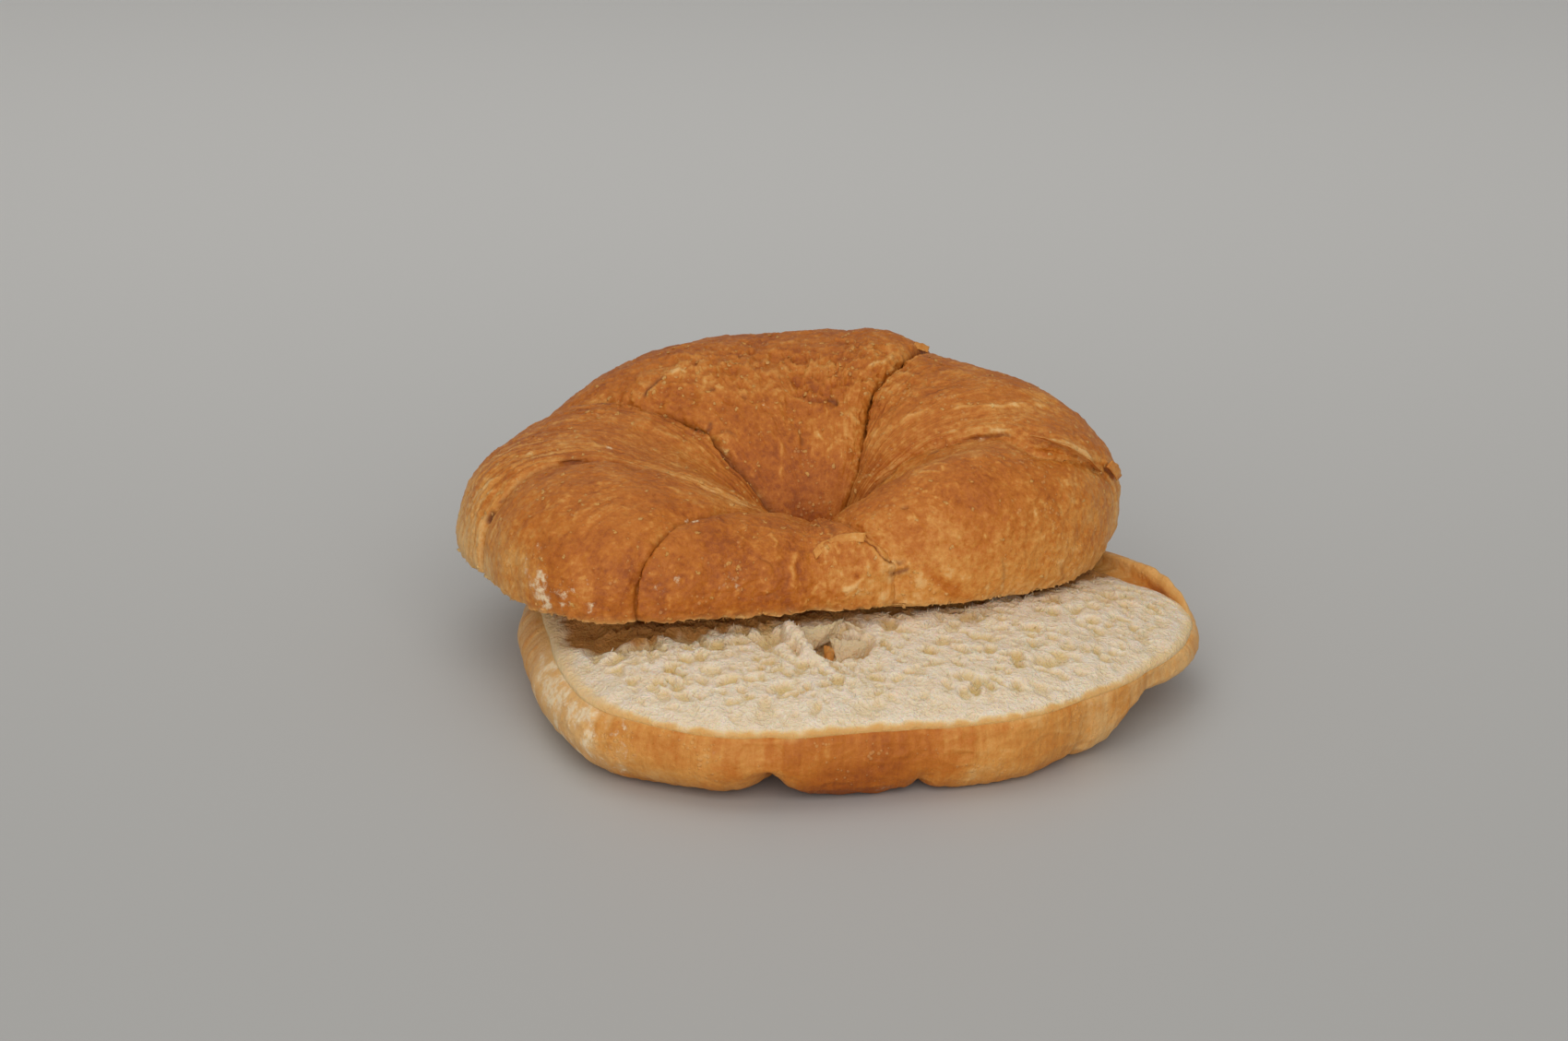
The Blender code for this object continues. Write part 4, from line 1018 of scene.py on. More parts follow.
# Pale raised lines of the skin, as (half width, height, path),
PALE_LINES = [
    (0.50, 0.35, [(-27.6, 26.3, 29.5), (-25.4, 27.2, 30.8), (-23.6, 26.7, 31.0)]),
    (0.35, 0.25, [(-16.9, 11.4, 19.9), (-15.6, 10.6, 19.2), (-14.6, 9.7, 18.2)]),
    (0.50, 0.25, [(-19.2, 23.9, 30.8), (-20.3, 22.7, 29.7), (-18.2, 21.8, 29.0), (-15.4, 20.6, 28.5)]),
    (0.40, 0.30, [(-3.9, 19.1, 26.8), (-3.3, 16.7, 25.2), (-3.7, 14.0, 23.5)]),
    (0.40, 0.30, [(-6.5, 13.7, 23.5), (-4.9, 11.5, 21.3), (-4.5, 9.8, 19.2), (-4.8, 7.7, 16.4),
                  (-4.3, 5.8, 13.3)]),
    (0.35, 0.20, [(1.9, 13.8, 22.8), (3.6, 12.1, 21.4)]),
    (0.40, 0.20, [(-9.4, 5.6, 13.2), (-8.6, 4.7, 11.6)]),
    (0.90, 0.15, [(7.4, 16.5, 27.0), (9.3, 15.6, 26.2), (11.0, 14.7, 23.9)]),
    (0.60, 0.40, [(11.0, 24.8, 32.5), (12.9, 26.6, 33.8), (15.7, 28.1, 34.4), (19.1, 33.1, 34.8)]),
    (0.50, 0.20, [(24.5, 11.7, 27.7), (29.8, 12.1, 29.3), (37.0, 11.1, 29.9), (44.3, 13.2, 29.9),
                  (49.9, 14.5, 28.6)]),
    (0.60, 0.20, [(22.7, 8.7, 25.2), (27.9, 6.4, 26.0), (33.2, 5.4, 27.3), (38.4, 3.0, 27.8),
                  (45.6, 4.9, 28.2)]),
    (0.50, 0.20, [(15.6, 10.8, 23.6), (19.2, 12.4, 26.1), (22.7, 12.8, 27.8)]),
    (0.45, 0.35, [(44.4, -0.2, 26.8), (48.1, 0.9, 26.1), (50.9, 1.9, 25.3), (53.7, 2.8, 23.6),
                  (56.0, 3.4, 21.9), (58.7, 6.5, 20.8)]),
    (0.35, 0.22, [(25.1, -11.1, 24.1), (27.1, -14.4, 23.2), (28.2, -16.4, 22.0), (28.9, -18.0, 20.4)]),
    (0.35, 0.18, [(19.0, -13.7, 21.5), (20.2, -12.6, 22.3), (22.0, -12.1, 22.9), (25.7, -13.9, 23.2)]),
    (0.35, 0.18, [(22.0, -11.0, 23.1), (24.1, -10.2, 23.9), (27.1, -12.0, 24.3), (29.7, -13.5, 23.9)]),
    (1.20, 0.10, [(19.3, -21.9, 16.1), (20.6, -21.1, 17.1)]),
    (0.80, 0.25, [(-58.2, -2.1, 18.6), (-55.5, -1.7, 19.8), (-52.1, 0.1, 21.0), (-48.6, 0.6, 22.1),
                  (-45.2, 1.8, 22.4), (-41.5, 0.9, 22.6), (-37.9, -0.1, 22.2), (-34.3, -2.2, 21.9)]),
    (0.60, 0.20, [(-50.4, 14.1, 22.7), (-46.3, 12.7, 23.8), (-41.9, 12.5, 24.3)]),
    (0.60, 0.22, [(-64.6, -3.6, 10.7), (-62.8, -4.0, 13.6), (-60.6, -4.5, 16.1), (-57.4, -4.6, 18.0),
                  (-53.5, -5.2, 19.8)]),
    (0.50, 0.20, [(-63.3, -9.3, 7.9), (-63.0, -7.3, 11.0), (-61.2, -7.0, 13.7), (-58.6, -6.8, 16.3),
                  (-55.7, -7.5, 18.0)]),
    (0.60, 0.18, [(-31.4, 11.3, 23.7), (-28.6, 10.0, 23.0), (-25.0, 9.4, 21.9), (-21.3, 7.8, 20.1)]),
    (0.70, 0.18, [(-28.3, -16.1, 21.0), (-24.7, -18.3, 20.0), (-21.2, -20.7, 18.7), (-17.7, -22.3, 16.9)]),
    (0.60, 0.18, [(-1.7, -27.4, 11.6), (-2.4, -29.7, 9.5), (-2.2, -31.3, 5.9), (-1.5, -31.3, 2.4)]),
    (0.35, 0.20, [(-8.9, -28.7, 12.9), (-7.9, -26.5, 13.7), (-6.2, -25.8, 13.9), (-5.2, -27.1, 12.9),
                  (-6.2, -29.3, 12.0)]),
    (1.00, 0.12, [(22.1, -24.0, 8.3), (21.5, -24.5, 5.2), (21.2, -24.2, 0.5)]),
    (0.50, 0.30, [(4.1, -29.9, 2.9), (9.2, -28.8, 4.9), (11.7, -27.4, 7.4), (12.5, -26.8, 10.2)]),
    (3.20, 0.10, [(2.0, -30.5, 2.0), (7.0, -29.5, 3.5), (12.0, -27.5, 4.0), (17.0, -25.5, 3.0),
                  (21.0, -24.3, 1.5)]),
    (0.55, 0.35, [(19.6, -24.5, 9.2), (19.3, -24.7, 7.8)]),
    (0.90, 0.10, [(59.9, 5.7, 15.1), (60.9, 7.0, 9.1), (61.0, 10.1, 2.4)]),
    (0.80, 0.70, [(11.7, 8.7, 20.2), (12.0, 8.4, 19.8)]),
]
# soft hollows that are darker: painted shade in most, browner crust in a few small spots, as (half width,
# depth, darkening, path),
HOLLOWS = [
    (1.2, 0.4, 0.10, [(-15.3, 27.4, 31.8), (-14.7, 25.7, 31.0), (-13.7, 22.6, 30.5)]),
    (2.0, 0.5, 0.08, [(-2.2, 25.9, 30.9), (-1.9, 24.2, 29.2), (-1.5, 22.7, 27.4)]),
    (1.8, 0.6, 0.10, [(0.8, 23.0, 28.4), (3.4, 21.8, 27.8), (5.2, 20.0, 27.3)]),
    (1.2, 0.3, 0.22, [(-1.4, -25.1, 13.1), (-3.3, -28.3, 11.2), (-4.0, -31.0, 8.5), (-3.6, -31.8, 5.2),
                      (-2.8, -31.6, 1.5)]),
    (1.4, 0.4, 0.35, [(23.5, -24.0, 7.3), (25.7, -24.0, 4.8), (27.9, -23.6, 2.4)]),
    (1.5, 0.6, 0.20, [(16.1, -26.4, 5.3), (18.7, -24.4, 5.5), (20.7, -24.9, 6.8)]),
    (1.6, 0.2, 0.20, [(-36.1, -30.2, 17.1), (-37.2, -33.6, 14.6), (-38.0, -36.3, 11.9), (-37.2, -38.7, 6.6),
                      (-37.1, -39.1, 2.3)]),
    (0.8, 0.1, 0.25, [(0.0, -25.8, 12.2), (-1.0, -29.4, 9.8), (-0.5, -31.0, 5.0)]),
    (0.5, 0.2, 0.40, [(6.3, -26.1, 12.5), (6.6, -26.1, 12.4)]),
    (0.6, 0.2, 0.40, [(2.5, -27.9, 10.4), (2.7, -28.0, 10.1)]),
    (0.6, 0.2, 0.35, [(9.9, -28.3, 7.2), (10.1, -28.3, 6.9)]),
]
# and flour that stuck to it, as (half width, strength, path).
FLOURED = [
    (0.9, 1.0, [(-51.4, -30.4, 8.8), (-51.4, -31.0, 7.2)]),
    (2.0, 1.3, [(-48.6, -34.0, 6.0), (-47.1, -35.6, 2.6)]),
    (1.6, 0.8, [(-44.4, -37.9, 5.0), (-43.4, -38.2, 3.6)]),
    (0.6, 0.9, [(-39.5, -38.1, 8.4), (-39.3, -38.3, 7.8)]),
    (0.8, 0.9, [(-38.9, -38.9, 3.8), (-38.7, -39.1, 3.0)]),
    (0.7, 0.8, [(-49.2, -30.2, 12.1), (-49.0, -30.6, 11.5)]),
    (0.8, 0.7, [(-48.1, -34.2, 8.6), (-47.9, -34.7, 7.4)]),
    (1.2, 0.6, [(-42.1, -38.3, 6.6), (-41.7, -38.5, 6.0)]),
    (0.7, 1.0, [(-37.9, 0.1, 22.4), (-37.3, -0.1, 22.4)]),
    (1.5, 0.5, [(-14.6, -34.9, 6.8), (-12.6, -34.0, 7.4)]),
    (0.7, 0.5, [(-23.2, -37.0, 8.3), (-22.8, -37.2, 8.1)]),
    (0.8, 0.5, [(-26.5, -38.0, 7.2), (-26.1, -38.2, 7.0)]),
    (0.8, 0.8, [(-21.0, -27.0, 16.9), (-20.2, -27.0, 16.9)]),
    (0.4, 1.0, [(33.9, 4.8, 24.7), (34.1, 4.8, 24.7)]),
    (0.5, 0.9, [(-8.2, 18.0, 26.4), (-7.6, 17.8, 26.4)]),
    (0.6, 0.4, [(16.6, 7.3, 21.5), (17.0, 7.3, 21.5)]),
]


def wrap_values(key, angle):
    """A wrap's value, blended smoothly between the middles of the wraps."""
    starts = [wrap["groove"][-1] for wrap in TOP_WRAPS]
    ends = starts[1:] + [starts[0] + 360]
    table = [((a + b) / 2, wrap[key]) for a, b, wrap in zip(starts, ends, TOP_WRAPS)]
    return round_the_ring(table, 1, angle)


def through_knots(knots, out):
    """Value at share out of the way from navel to rim, on a smooth curve through five knots."""
    slopes = np.gradient(knots, axis=-1)
    i = np.minimum((out * 4).astype(int), 3)
    at_knots = (np.take_along_axis(table, j[..., None], -1)[..., 0]
                for j in (i, i + 1) for table in (knots, slopes))
    return between_knots(out * 4 - i, *at_knots)


def top_row(index, share, part, place, bare=False):
    """Row of points round the top half's crust, with what the relief needs to know of them."""
    grooves = np.array([wrap["groove"] for wrap in TOP_WRAPS], float)
    following = np.roll(grooves, -1, axis=0)
    following[-1] += 360
    grooves, following = grooves[index], following[index]
    crest_at = wrap_values("crest_at", (1 - share) * grooves[:, -1] + share * following[:, -1])
    swing = math.pi / 2 * (place if part in ("inner", "floor") else 1 - place)
    if part == "floor":
        out = np.zeros_like(share)
    elif part == "inner":
        out = crest_at * (1 - math.cos(swing) ** (2 / TOP_INNER_ROUND))
    elif part == "outer":
        out = crest_at + (1 - crest_at) * math.cos(swing) ** (2 / TOP_OUTER_ROUND)
    else:
        out = np.ones_like(share)
    start, end = through_knots(grooves, out), through_knots(following, out)
    angle = (1 - share) * start + share * end
    a = np.radians(angle)
    slit = 1 / np.hypot(np.cos(a) / TOP_NAVEL_SLIT[0], np.sin(a) / TOP_NAVEL_SLIT[1])
    rim = round_the_ring(TOP_RIM, 1, angle)
    crest = round_the_ring(TOP_CREST, 1, angle)
    widest = wrap_values("widest", angle)
    reached = out
    if part == "floor":
        height = np.full_like(share, TOP_NAVEL_FLOOR)
    elif part == "inner":
        height = TOP_NAVEL_FLOOR + (crest - TOP_NAVEL_FLOOR) * math.sin(swing) ** (2 / TOP_INNER_ROUND)
    elif part == "outer":
        height = widest + (crest - widest) * math.sin(swing) ** (2 / TOP_OUTER_ROUND)
    else:
        height = widest * (1 - place)
        reached = 1 - wrap_values("undercut", angle) * place**2
    radius = slit + (rim - slit) * reached
    width = np.maximum(np.radians(end - start) * radius, 1.0)

    # A groove wanders a little from its line, so that the flaps' edges are ragged.
    rough = np.stack([radius * np.cos(a), radius * np.sin(a), height], axis=-1)
    wander = lumps(rough, [(2.2, 0.16, 41), (8.0, 0.55, 42), (0.9, 0.08, 43)])
    ring = index + share + np.clip(wander / width, -0.03, 0.03)
    near = np.floor(ring).astype(int) % len(TOP_WRAPS)
    x = ring - np.floor(ring)
    depths, cracks, lips = (np.array([wrap[key] for wrap in TOP_WRAPS]) for key in ("depth", "crack", "lips"))
    up, proud, crack = 1.0, 0.0, 0.0
    # First at the groove that starts the wrap, then at the next one.
    for k, aside in enumerate((x * width, (1 - x) * width)):
        opened = np.clip(through_knots(np.roll(cracks, -k, axis=0)[near], out), 0, 1)
        lip = lips[near, k] * (0.25 + 0.75 * opened)
        blunt = 0.8 * (1 - opened)
        up = up * rise((np.hypot(aside, blunt) - blunt) / width, lip, 0.006)
        proud = proud + lip * np.exp(-((aside - 1.1) / 0.9)**2)
        half_width = CRACK_WIDTH[0] + (CRACK_WIDTH[1] - CRACK_WIDTH[0]) * opened**2
        crack = np.maximum(crack, opened * np.exp(-(aside / half_width)**2))
    sunk = 1 - up
    depth = (1 - x) * depths[near] + x * np.roll(depths, -1)[near]
    fade = np.interp(out, (0.0, 0.1, 0.6, 1.0), (0.3, 1.0, 1.0, 0.7))
    depth = depth * sunk * fade - 0.12 * proud * fade + CRACK_DEPTH * crack
    if bare:
        depth = 0 * depth
    if part == "floor":
        depth = depth * place
        radius = slit * (0.03 + 0.97 * place)
    core_radius = slit + crest_at * (rim - slit)
    outward = np.arctan2(height - 0.3 * crest, radius - core_radius) if part != "under" else 0.0
    radius = radius - depth * np.cos(outward)
    height = height - depth * np.sin(outward)
    points = np.stack([TOP_NAVEL[0] + radius * np.cos(a), TOP_NAVEL[1] + radius * np.sin(a), height], axis=-1)
    return points, angle, out, x, near, sunk, crack, width


def follow(points, normals, path, reach):
    """Points within reach of a path over the skin: which, how far off, on which side, how far along."""
    path = np.array(path, float)
    inside = (points > path.min(axis=0) - reach) & (points < path.max(axis=0) + reach)
    box = np.flatnonzero(np.all(inside, axis=-1))
    near, upright = points[box], normals[box]
    best = np.full(len(box), 1e9)
    side = np.ones(len(box))
    along = np.zeros(len(box))
    lengths = np.linalg.norm(np.diff(path, axis=0), axis=1)
    for i, (start, step) in enumerate(zip(path, np.diff(path, axis=0))):
        t = np.clip((near - start) @ step / (step @ step), 0, 1)
        away = near - start - t[:, None] * step
        lift = np.einsum("ij,ij->i", away, upright)
        away -= lift[:, None] * upright
        distance = np.linalg.norm(away, axis=-1) + np.maximum(0, np.abs(lift) - 2)
        closer = distance < best
        best = np.where(closer, distance, best)
        side = np.where(closer, -np.sign(np.einsum("ij,ij->i", np.cross(step, away), upright)), side)
        along = np.where(closer, lengths[:i].sum() + t * lengths[i], along)
    ends = smooth(np.minimum(along, lengths.sum() - along) / (0.25 * lengths.sum()))
    return box, best, side, ends


def make_top_skin():
    """Skin of the whole top half from its cut edge to its navel, as a grid whose columns close."""
    grooves = np.array([wrap["groove"][2] for wrap in TOP_WRAPS] + [TOP_WRAPS[0]["groove"][2] + 360], float)
    index, share = shared_out(np.diff(grooves) + 14, TOP_COLUMNS)
    rows = [("under", place) for place in 1 - np.linspace(0, 1, 19)[:-1] ** 1.5]
    rows += [("outer", place) for place in np.linspace(1, 0, 108)]
    rows += [("inner", place) for place in np.linspace(1, 0, 98)[1:]]
    rows += [("floor", place) for place in (0.7, 0.4, 0.15, 0.0)]
    made = [top_row(index, share, part, place) for part, place in rows]
    grid, angle, out, across, near, sunk, crack, width = (np.stack(rows_of_one) for rows_of_one in zip(*made))
    core = np.stack([top_row(index, share, part, place, bare=True)[0] for part, place in rows])

    away_from_navel = core[TOP_OUTER_ROW, 0] - (*TOP_NAVEL, TOP_NAVEL_FLOOR)
    direction = np.sign(grid_normals(core)[TOP_OUTER_ROW, 0] @ away_from_navel)
    normals = grid_normals(grid) * direction
    px, py, pz = np.moveaxis(grid, -1, 0)
    phase = np.radians((1 - share) * grooves[index] + share * grooves[index + 1])
    travelled = np.cumsum(np.linalg.norm(np.diff(grid, axis=0, prepend=grid[:1]), axis=-1), axis=0)
    round_x, round_y = (wave(phase)[None] * TOP_ROUND + 0 * px for wave in (np.cos, np.sin))
    flow = np.stack([round_x, round_y, travelled], axis=-1)

    crags = np.clip(0.14 + patches(px, py, CRAG_SPOTS), 0, 1) * smooth(pz / 12)
    layers = np.array([wrap["layers"] for wrap in TOP_WRAPS])[near]
    layers = layers * (1 - 0.65 * smooth(np.minimum(across, 1 - across) * width / 9))
    layers = np.clip(layers + patches(px, py, LAYER_SPOTS), 0, 1)
    lines = lumps(flow, LAYER_LINES)
    relief = lumps(grid, TOP_LUMPS) + 0.20 * layers * lines
    # The crest of the rear wrap broke into small plates, some sunk and darker, with pale rims.
    bent = grid + 1.1 * wobble(grid, 2.4, (78, 79, 80))
    _, rim, plate = cells(bent, (4.2, 3.0, 3.4), 58)
    _, small_rim, small_plate = cells(bent, (1.9, 1.5, 1.7), 81)
    plates = smooth((0.6 * plate + 0.4 * small_plate - 0.45) / 0.4)
    crag_relief = -0.85 * plates + 0.34 * rim + 0.20 * small_rim
    crag_tint = 0.14 * plates - 0.24 * rim - 0.12 * small_rim
    veins = smooth((ridges(grid, (3.4, 2.6, 2.8), 59) - 0.62) / 0.38) * smooth(0.3 + noise(grid, 12, 60))
    relief += crags * crag_relief + 0.10 * veins
    blister, _, number = cells(grid, 2.0, 65)
    relief += 0.16 * smooth(1 - blister / (0.12 + 0.22 * number)) * smooth(0.4 + noise(grid, 10, 66))
    # Painted shade in the grooves' open cracks; the cracks of the table below add theirs.
    dark = crack * (0.85 + 0.3 * noise(grid, 2, 61))

    # Cracks, pale lines, hollows and flour at their own places, all with uneven edges.
    flat_grid, flat_normals = grid.reshape(-1, 3), normals.reshape(-1, 3)
    uneven = flat_grid + 0.35 * wobble(flat_grid, 1.5, (62, 63, 64))
    lift, shade, tint, flour = np.zeros((4, len(uneven)))
    for half_width, depth, step, path in CRACKS:
        box, away, side, ends = follow(uneven, flat_normals, path, 8)
        opened = np.exp(-(away / half_width)**2) * ends
        raised = np.where(side > 0, 1.0, np.exp(-(away / 0.2)**2)) * np.exp(-(away / 3)**2) * ends
        lift[box] += step * raised - depth * opened
        shade[box] = np.maximum(shade[box], opened * min(1.0, 1.5 * depth))
        tint[box] -= 0.25 * step * np.exp(-((away - 0.9) / 0.6)**2) * (side > 0) * ends
    for half_width, height, path in PALE_LINES:
        box, away, side, ends = follow(uneven, flat_normals, path, 4)
        feathered = smooth(0.55 + 1.1 * noise(uneven[box], 2.6, 82))
        line = np.exp(-(away / half_width)**2) * (0.2 + 0.8 * ends) * feathered
        lift[box] += height * line
        tint[box] -= (0.22 + 0.9 * height) * line
    # Hollows: painted shade, and browner crust at the few small spots.
    for half_width, depth, browned, path in HOLLOWS:
        box, away, side, ends = follow(uneven, flat_normals, path, 7)
        hollow = np.exp(-(away / half_width)**2) * (0.6 + 0.4 * ends)
        lift[box] -= depth * hollow
        tint[box] += browned * hollow
    for half_width, strength, path in FLOURED:
        box, away, side, ends = follow(uneven, flat_normals, path, 6)
        flour[box] += strength * np.exp(-(away / half_width)**2)
    lift, shade, tint, flour = (part.reshape(pz.shape) for part in (lift, shade, tint, flour))
    relief = (relief + lift) * smooth(out / 0.12)
    dark = np.maximum(dark, shade)

    # The knife tore the lower edge: it is scalloped and finely toothed.
    low = np.exp(-np.maximum(pz, 0))
    level = np.stack([px, py, 0 * pz], axis=-1)
    teeth = np.clip(0.40 + lumps(level, TEETH_UP), 0, 1.5)
    skin = grid + normals * relief[..., None]
    skin[..., 2] = np.maximum(skin[..., 2], 0) + low * teeth
    outward = np.stack([*around((0, 0), 1, angle), 0 * px], axis=-1)
    skin += outward * (low * lumps(level, TEETH_OUT))[..., None]

    navel, crest, rim = (round_the_ring(TOP_BAKE, k, angle) for k in (1, 2, 3))
    crest_at = wrap_values("crest_at", angle)
    up = smooth(out / crest_at)
    down = smooth((out - crest_at) / (1 - crest_at)) * smooth(1 - pz / 22)
    bake = np.where(out < crest_at, navel + (crest - navel) * up, crest + (rim - crest) * down)
    bake += lumps(grid, [(13, 0.10, 72), (5, 0.10, 73)]) - 0.10 * sunk
    bake += crags * crag_tint - 0.16 * veins
    bake += tint - 0.16 * layers * np.clip(lines, -1, 1)
    freckles = smooth((noise(grid, (0.9, 0.9, 1.3), 74) - 0.28) * 3.5) * smooth(0.55 + noise(grid, 9, 75))
    bake -= 0.24 * freckles
    flour = flour * (0.7 + 0.7 * noise(grid, 1.6, 76))
    edge = 0.8 * np.exp(-np.maximum(pz, 0) / 0.7) * (0.75 + 0.5 * noise(grid, 1.5, 77))
    values = dict(bake=np.clip(bake, 0, 1), flour=np.clip(flour, 0, 1), edge=np.clip(edge, 0, 1),
                  dark=np.clip(dark, 0, 1), layers=layers, mottled=1 + 0 * bake, flow=flow,
                  flaky=np.clip(0.05 + crags + 0.3 * layers - 1.5 * tint, 0, 1) * smooth(pz / 4),
                  floury=np.clip(0.12 + flour * 3 + freckles, 0, 3) * smooth(pz / 2))

    # The inner side keeps clear of the grooves, and comes close to the skin only at the cut edge.
    inward = smooth(np.arange(len(rows)) / 20)[:, None, None]
    deep = core - grid_normals(core) * direction * TOP_CRUST_INSIDE
    inside = (grid - normals * TOP_CRUST) * (1 - inward) + deep * inward
    inside[..., 2] = np.maximum(inside[..., 2], 0.3)
    return skin, inside, outward, index, values


def zip_faces(first, second):
    """Triangles between two rows of points that run the same way."""
    faces = []
    i = j = 0
    while i < len(first) - 1 or j < len(second) - 1:
        if j == len(second) - 1 or (i + 1) * (len(second) - 1) <= (j + 1) * (len(first) - 1):
            faces.append((first[i + 1], first[i], second[j]))
            i += 1
        else:
            faces.append((second[j], second[j + 1], first[i]))
            j += 1
    return faces


def make_top_crust(name, wraps):
    """Closed piece of crust over some wraps: the skin, and behind it a coarser copy of it."""
    numbers = [i for i, wrap in enumerate(TOP_WRAPS) if wrap["name"] in wraps]
    columns = np.flatnonzero(np.isin(top_index, numbers))
    columns = np.append(columns, (columns[-1] + 1) % len(top_index))
    skin = top_skin[:, columns]
    rows = np.append(np.arange(0, 20, 4), np.linspace(20, len(skin) - 1, 26).round().astype(int))
    starts = [np.flatnonzero(top_index[columns] == i)[0] for i in numbers] + [len(columns) - 1]
    picked = [start + round((end - start) * place)
              for start, end in zip(starts, starts[1:]) for place in BACK_COLUMNS] + [starts[-1]]
    back = top_inside[:, columns][np.ix_(rows, picked)]
    front_numbers = np.arange(skin.shape[0] * skin.shape[1]).reshape(skin.shape[:2])
    back_numbers = front_numbers.size + np.arange(back.shape[0] * back.shape[1]).reshape(back.shape[:2])
    faces = grid_faces(front_numbers) + grid_faces(back_numbers[::-1])
    for front, behind in ((front_numbers[0], back_numbers[0]),
                          (front_numbers[:, -1], back_numbers[:, -1]),
                          (front_numbers[-1, ::-1], back_numbers[-1, ::-1]),
                          (front_numbers[::-1, 0], back_numbers[::-1, 0])):
        faces += zip_faces(front.tolist(), behind.tolist())
    attributes = {}
    for key, value in top_values.items():
        value = value[:, columns]
        behind = value[np.ix_(rows, picked)]
        behind = np.zeros_like(behind) if key in ("flaky", "floury", "edge") else behind
        shape = (-1, 3) if value.ndim == 3 else (-1,)
        attributes[key] = np.concatenate([value.reshape(shape), behind.reshape(shape)])
    points = np.vstack([skin.reshape(-1, 3), back.reshape(-1, 3)])
    return make_piece(name, points, faces, attributes, BAKED_CRUST)


top_skin, top_inside, top_outward, top_index, top_values = make_top_skin()
top_crusts = []
for name, wraps in (("rear_crust", ("right", "rear")), ("left_crust", ("left rear", "left front")),
                    ("front_crust", ("front", "horn tip", "right front"))):
    crust = make_top_crust(name, wraps)
    lay_in_place(crust, CUT_TURN)
    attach(crust, "root")
    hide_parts("top_half")
    top_crusts.append(crust)

# ---------------------------------------------------------------------------------------------
# Loose bits on the top half's crust: flaps where the outer layer tore and curled up, paper-thin
# flakes, grains of flour and baked crumbs that stuck to it, and torn scales along the knife's edge.
# ---------------------------------------------------------------------------------------------

# Each flap's free edge and the edge by which it hangs on, three points each.
FLAPS = [
    ("flap_right_end", [(59.8, 6.8, 20.6), (61.2, 8.4, 19.0), (62.2, 10.2, 16.6)],
     [(58.6, 5.3, 19.6), (60.0, 6.9, 18.0), (61.2, 8.9, 15.8)]),
    ("flap_rear", [(19.6, 39.6, 34.9), (22.6, 40.6, 34.6), (25.0, 41.0, 33.6)],
     [(20.4, 38.2, 34.0), (22.8, 39.2, 33.5), (24.6, 39.7, 32.7)]),
    ("flap_right", [(57.5, 3.4, 19.2), (51.3, -1.0, 24.8), (43.4, -1.3, 27.4)],
     [(56.5, 5.1, 19.1), (50.3, 0.9, 24.3), (43.1, 0.5, 26.9)]),
    ("flap_horn_tip", [(1.6, -27.0, 11.3), (5.4, -24.4, 13.5), (11.4, -24.3, 14.3)],
     [(2.2, -28.0, 10.0), (5.8, -25.6, 12.2), (11.0, -25.4, 12.8)]),
]
FLAP_VALUES = dict(bake=0.36, mottled=0.9, layers=0.4)
for i, (name, free, attached) in enumerate(FLAPS):
    flap = make_sheet(name, free, attached, FLAP_VALUES, BAKED_CRUST, 120 + 5 * i)
    lay_in_place(flap, CUT_TURN)
    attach(flap, "root")
    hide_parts("top_half")

FLAKES = {"Density": 130000.0, "Least": 0.2, "Largest": 0.9, "Lean": 0.16, "Seed": 11}
GRAINS = {"Density": 70000.0, "Least": 0.4, "Largest": 1.2, "Lean": 1.0, "Seed": 12}
SCALES = {"Density": 1100000.0, "Least": 0.3, "Largest": 1.0, "Lean": 1.2, "Seed": 13}
FLAKE_COLOURS = ((0.80, 0.50, 0.20), (0.58, 0.22, 0.035))      # on pale and on browned crust
FLAKE_CLOUD_COLOUR = (0.68, 0.33, 0.085)


def flake_material():
    """Thin dry flakes: pale tan and translucent, browned in places, hardly shiny."""
    material, tree, shader, place = new_material("thin flake")
    clouds = add(tree, "TexNoise", Vector=place, Scale=420.0, Detail=3.0).outputs[0]
    colour = mixed(tree, attribute(tree, "bake"), *FLAKE_COLOURS)
    colour = mixed(tree, spread(tree, clouds, 0.42, 0.62), colour, FLAKE_CLOUD_COLOUR)
    fine = add(tree, "TexNoise", Vector=place, Scale=2500.0, Detail=3.0).outputs[0]
    bump = add(tree, "Bump", Height=fine, Distance=0.0001, Strength=0.8).outputs[0]
    feed(tree, shader, Base_Color=colour, Normal=bump, Roughness=0.6, Specular_IOR_Level=0.25,
         Subsurface_Weight=0.2, Subsurface_Radius=(1.0, 0.5, 0.25), Subsurface_Scale=0.0006)
    return material


THIN_FLAKE = flake_material()
flake_shape = make_shape("flake_shape", [(-0.04, 0.34, 0.0, 1.3), (0.01, 0.52, 0.03, 1.3),
                                         (0.05, 0.44, 0.06, 1.2)])
grain_shape = make_shape("grain_shape", [(-0.06, 0.06, 0.0, 1.0), (0.03, 0.13, 0.0, 1.1),
                                         (0.12, 0.06, 0.0, 1.0)])
for crust in top_crusts:
    side = crust.name.split("_")[0]
    for kind, shape, where, settings in (("flakes", flake_shape, "flaky", FLAKES),
                                         ("grains", grain_shape, "floury", GRAINS),
                                         ("scales", flake_shape, "edge", SCALES)):
        bits = strewn_over(side + "_" + kind, crust, shape, where, THIN_FLAKE, settings)
        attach(bits, "root")
        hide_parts("top_half")
for shape in (flake_shape, grain_shape):
    bpy.data.objects.remove(shape)

# ---------------------------------------------------------------------------------------------
# Crumb of the top half: the other side of the cut. It lies face down, a little inside the crust's
# ragged edge, and shows from below and through the gap between the halves.
# ---------------------------------------------------------------------------------------------

TOP_CRUMB_SIDE = 150
TOP_CRUMB_RECESS = 0.7           # how far the crumb lies inside the crust's edge
TOP_CRUMB_THICKNESS = 3.0


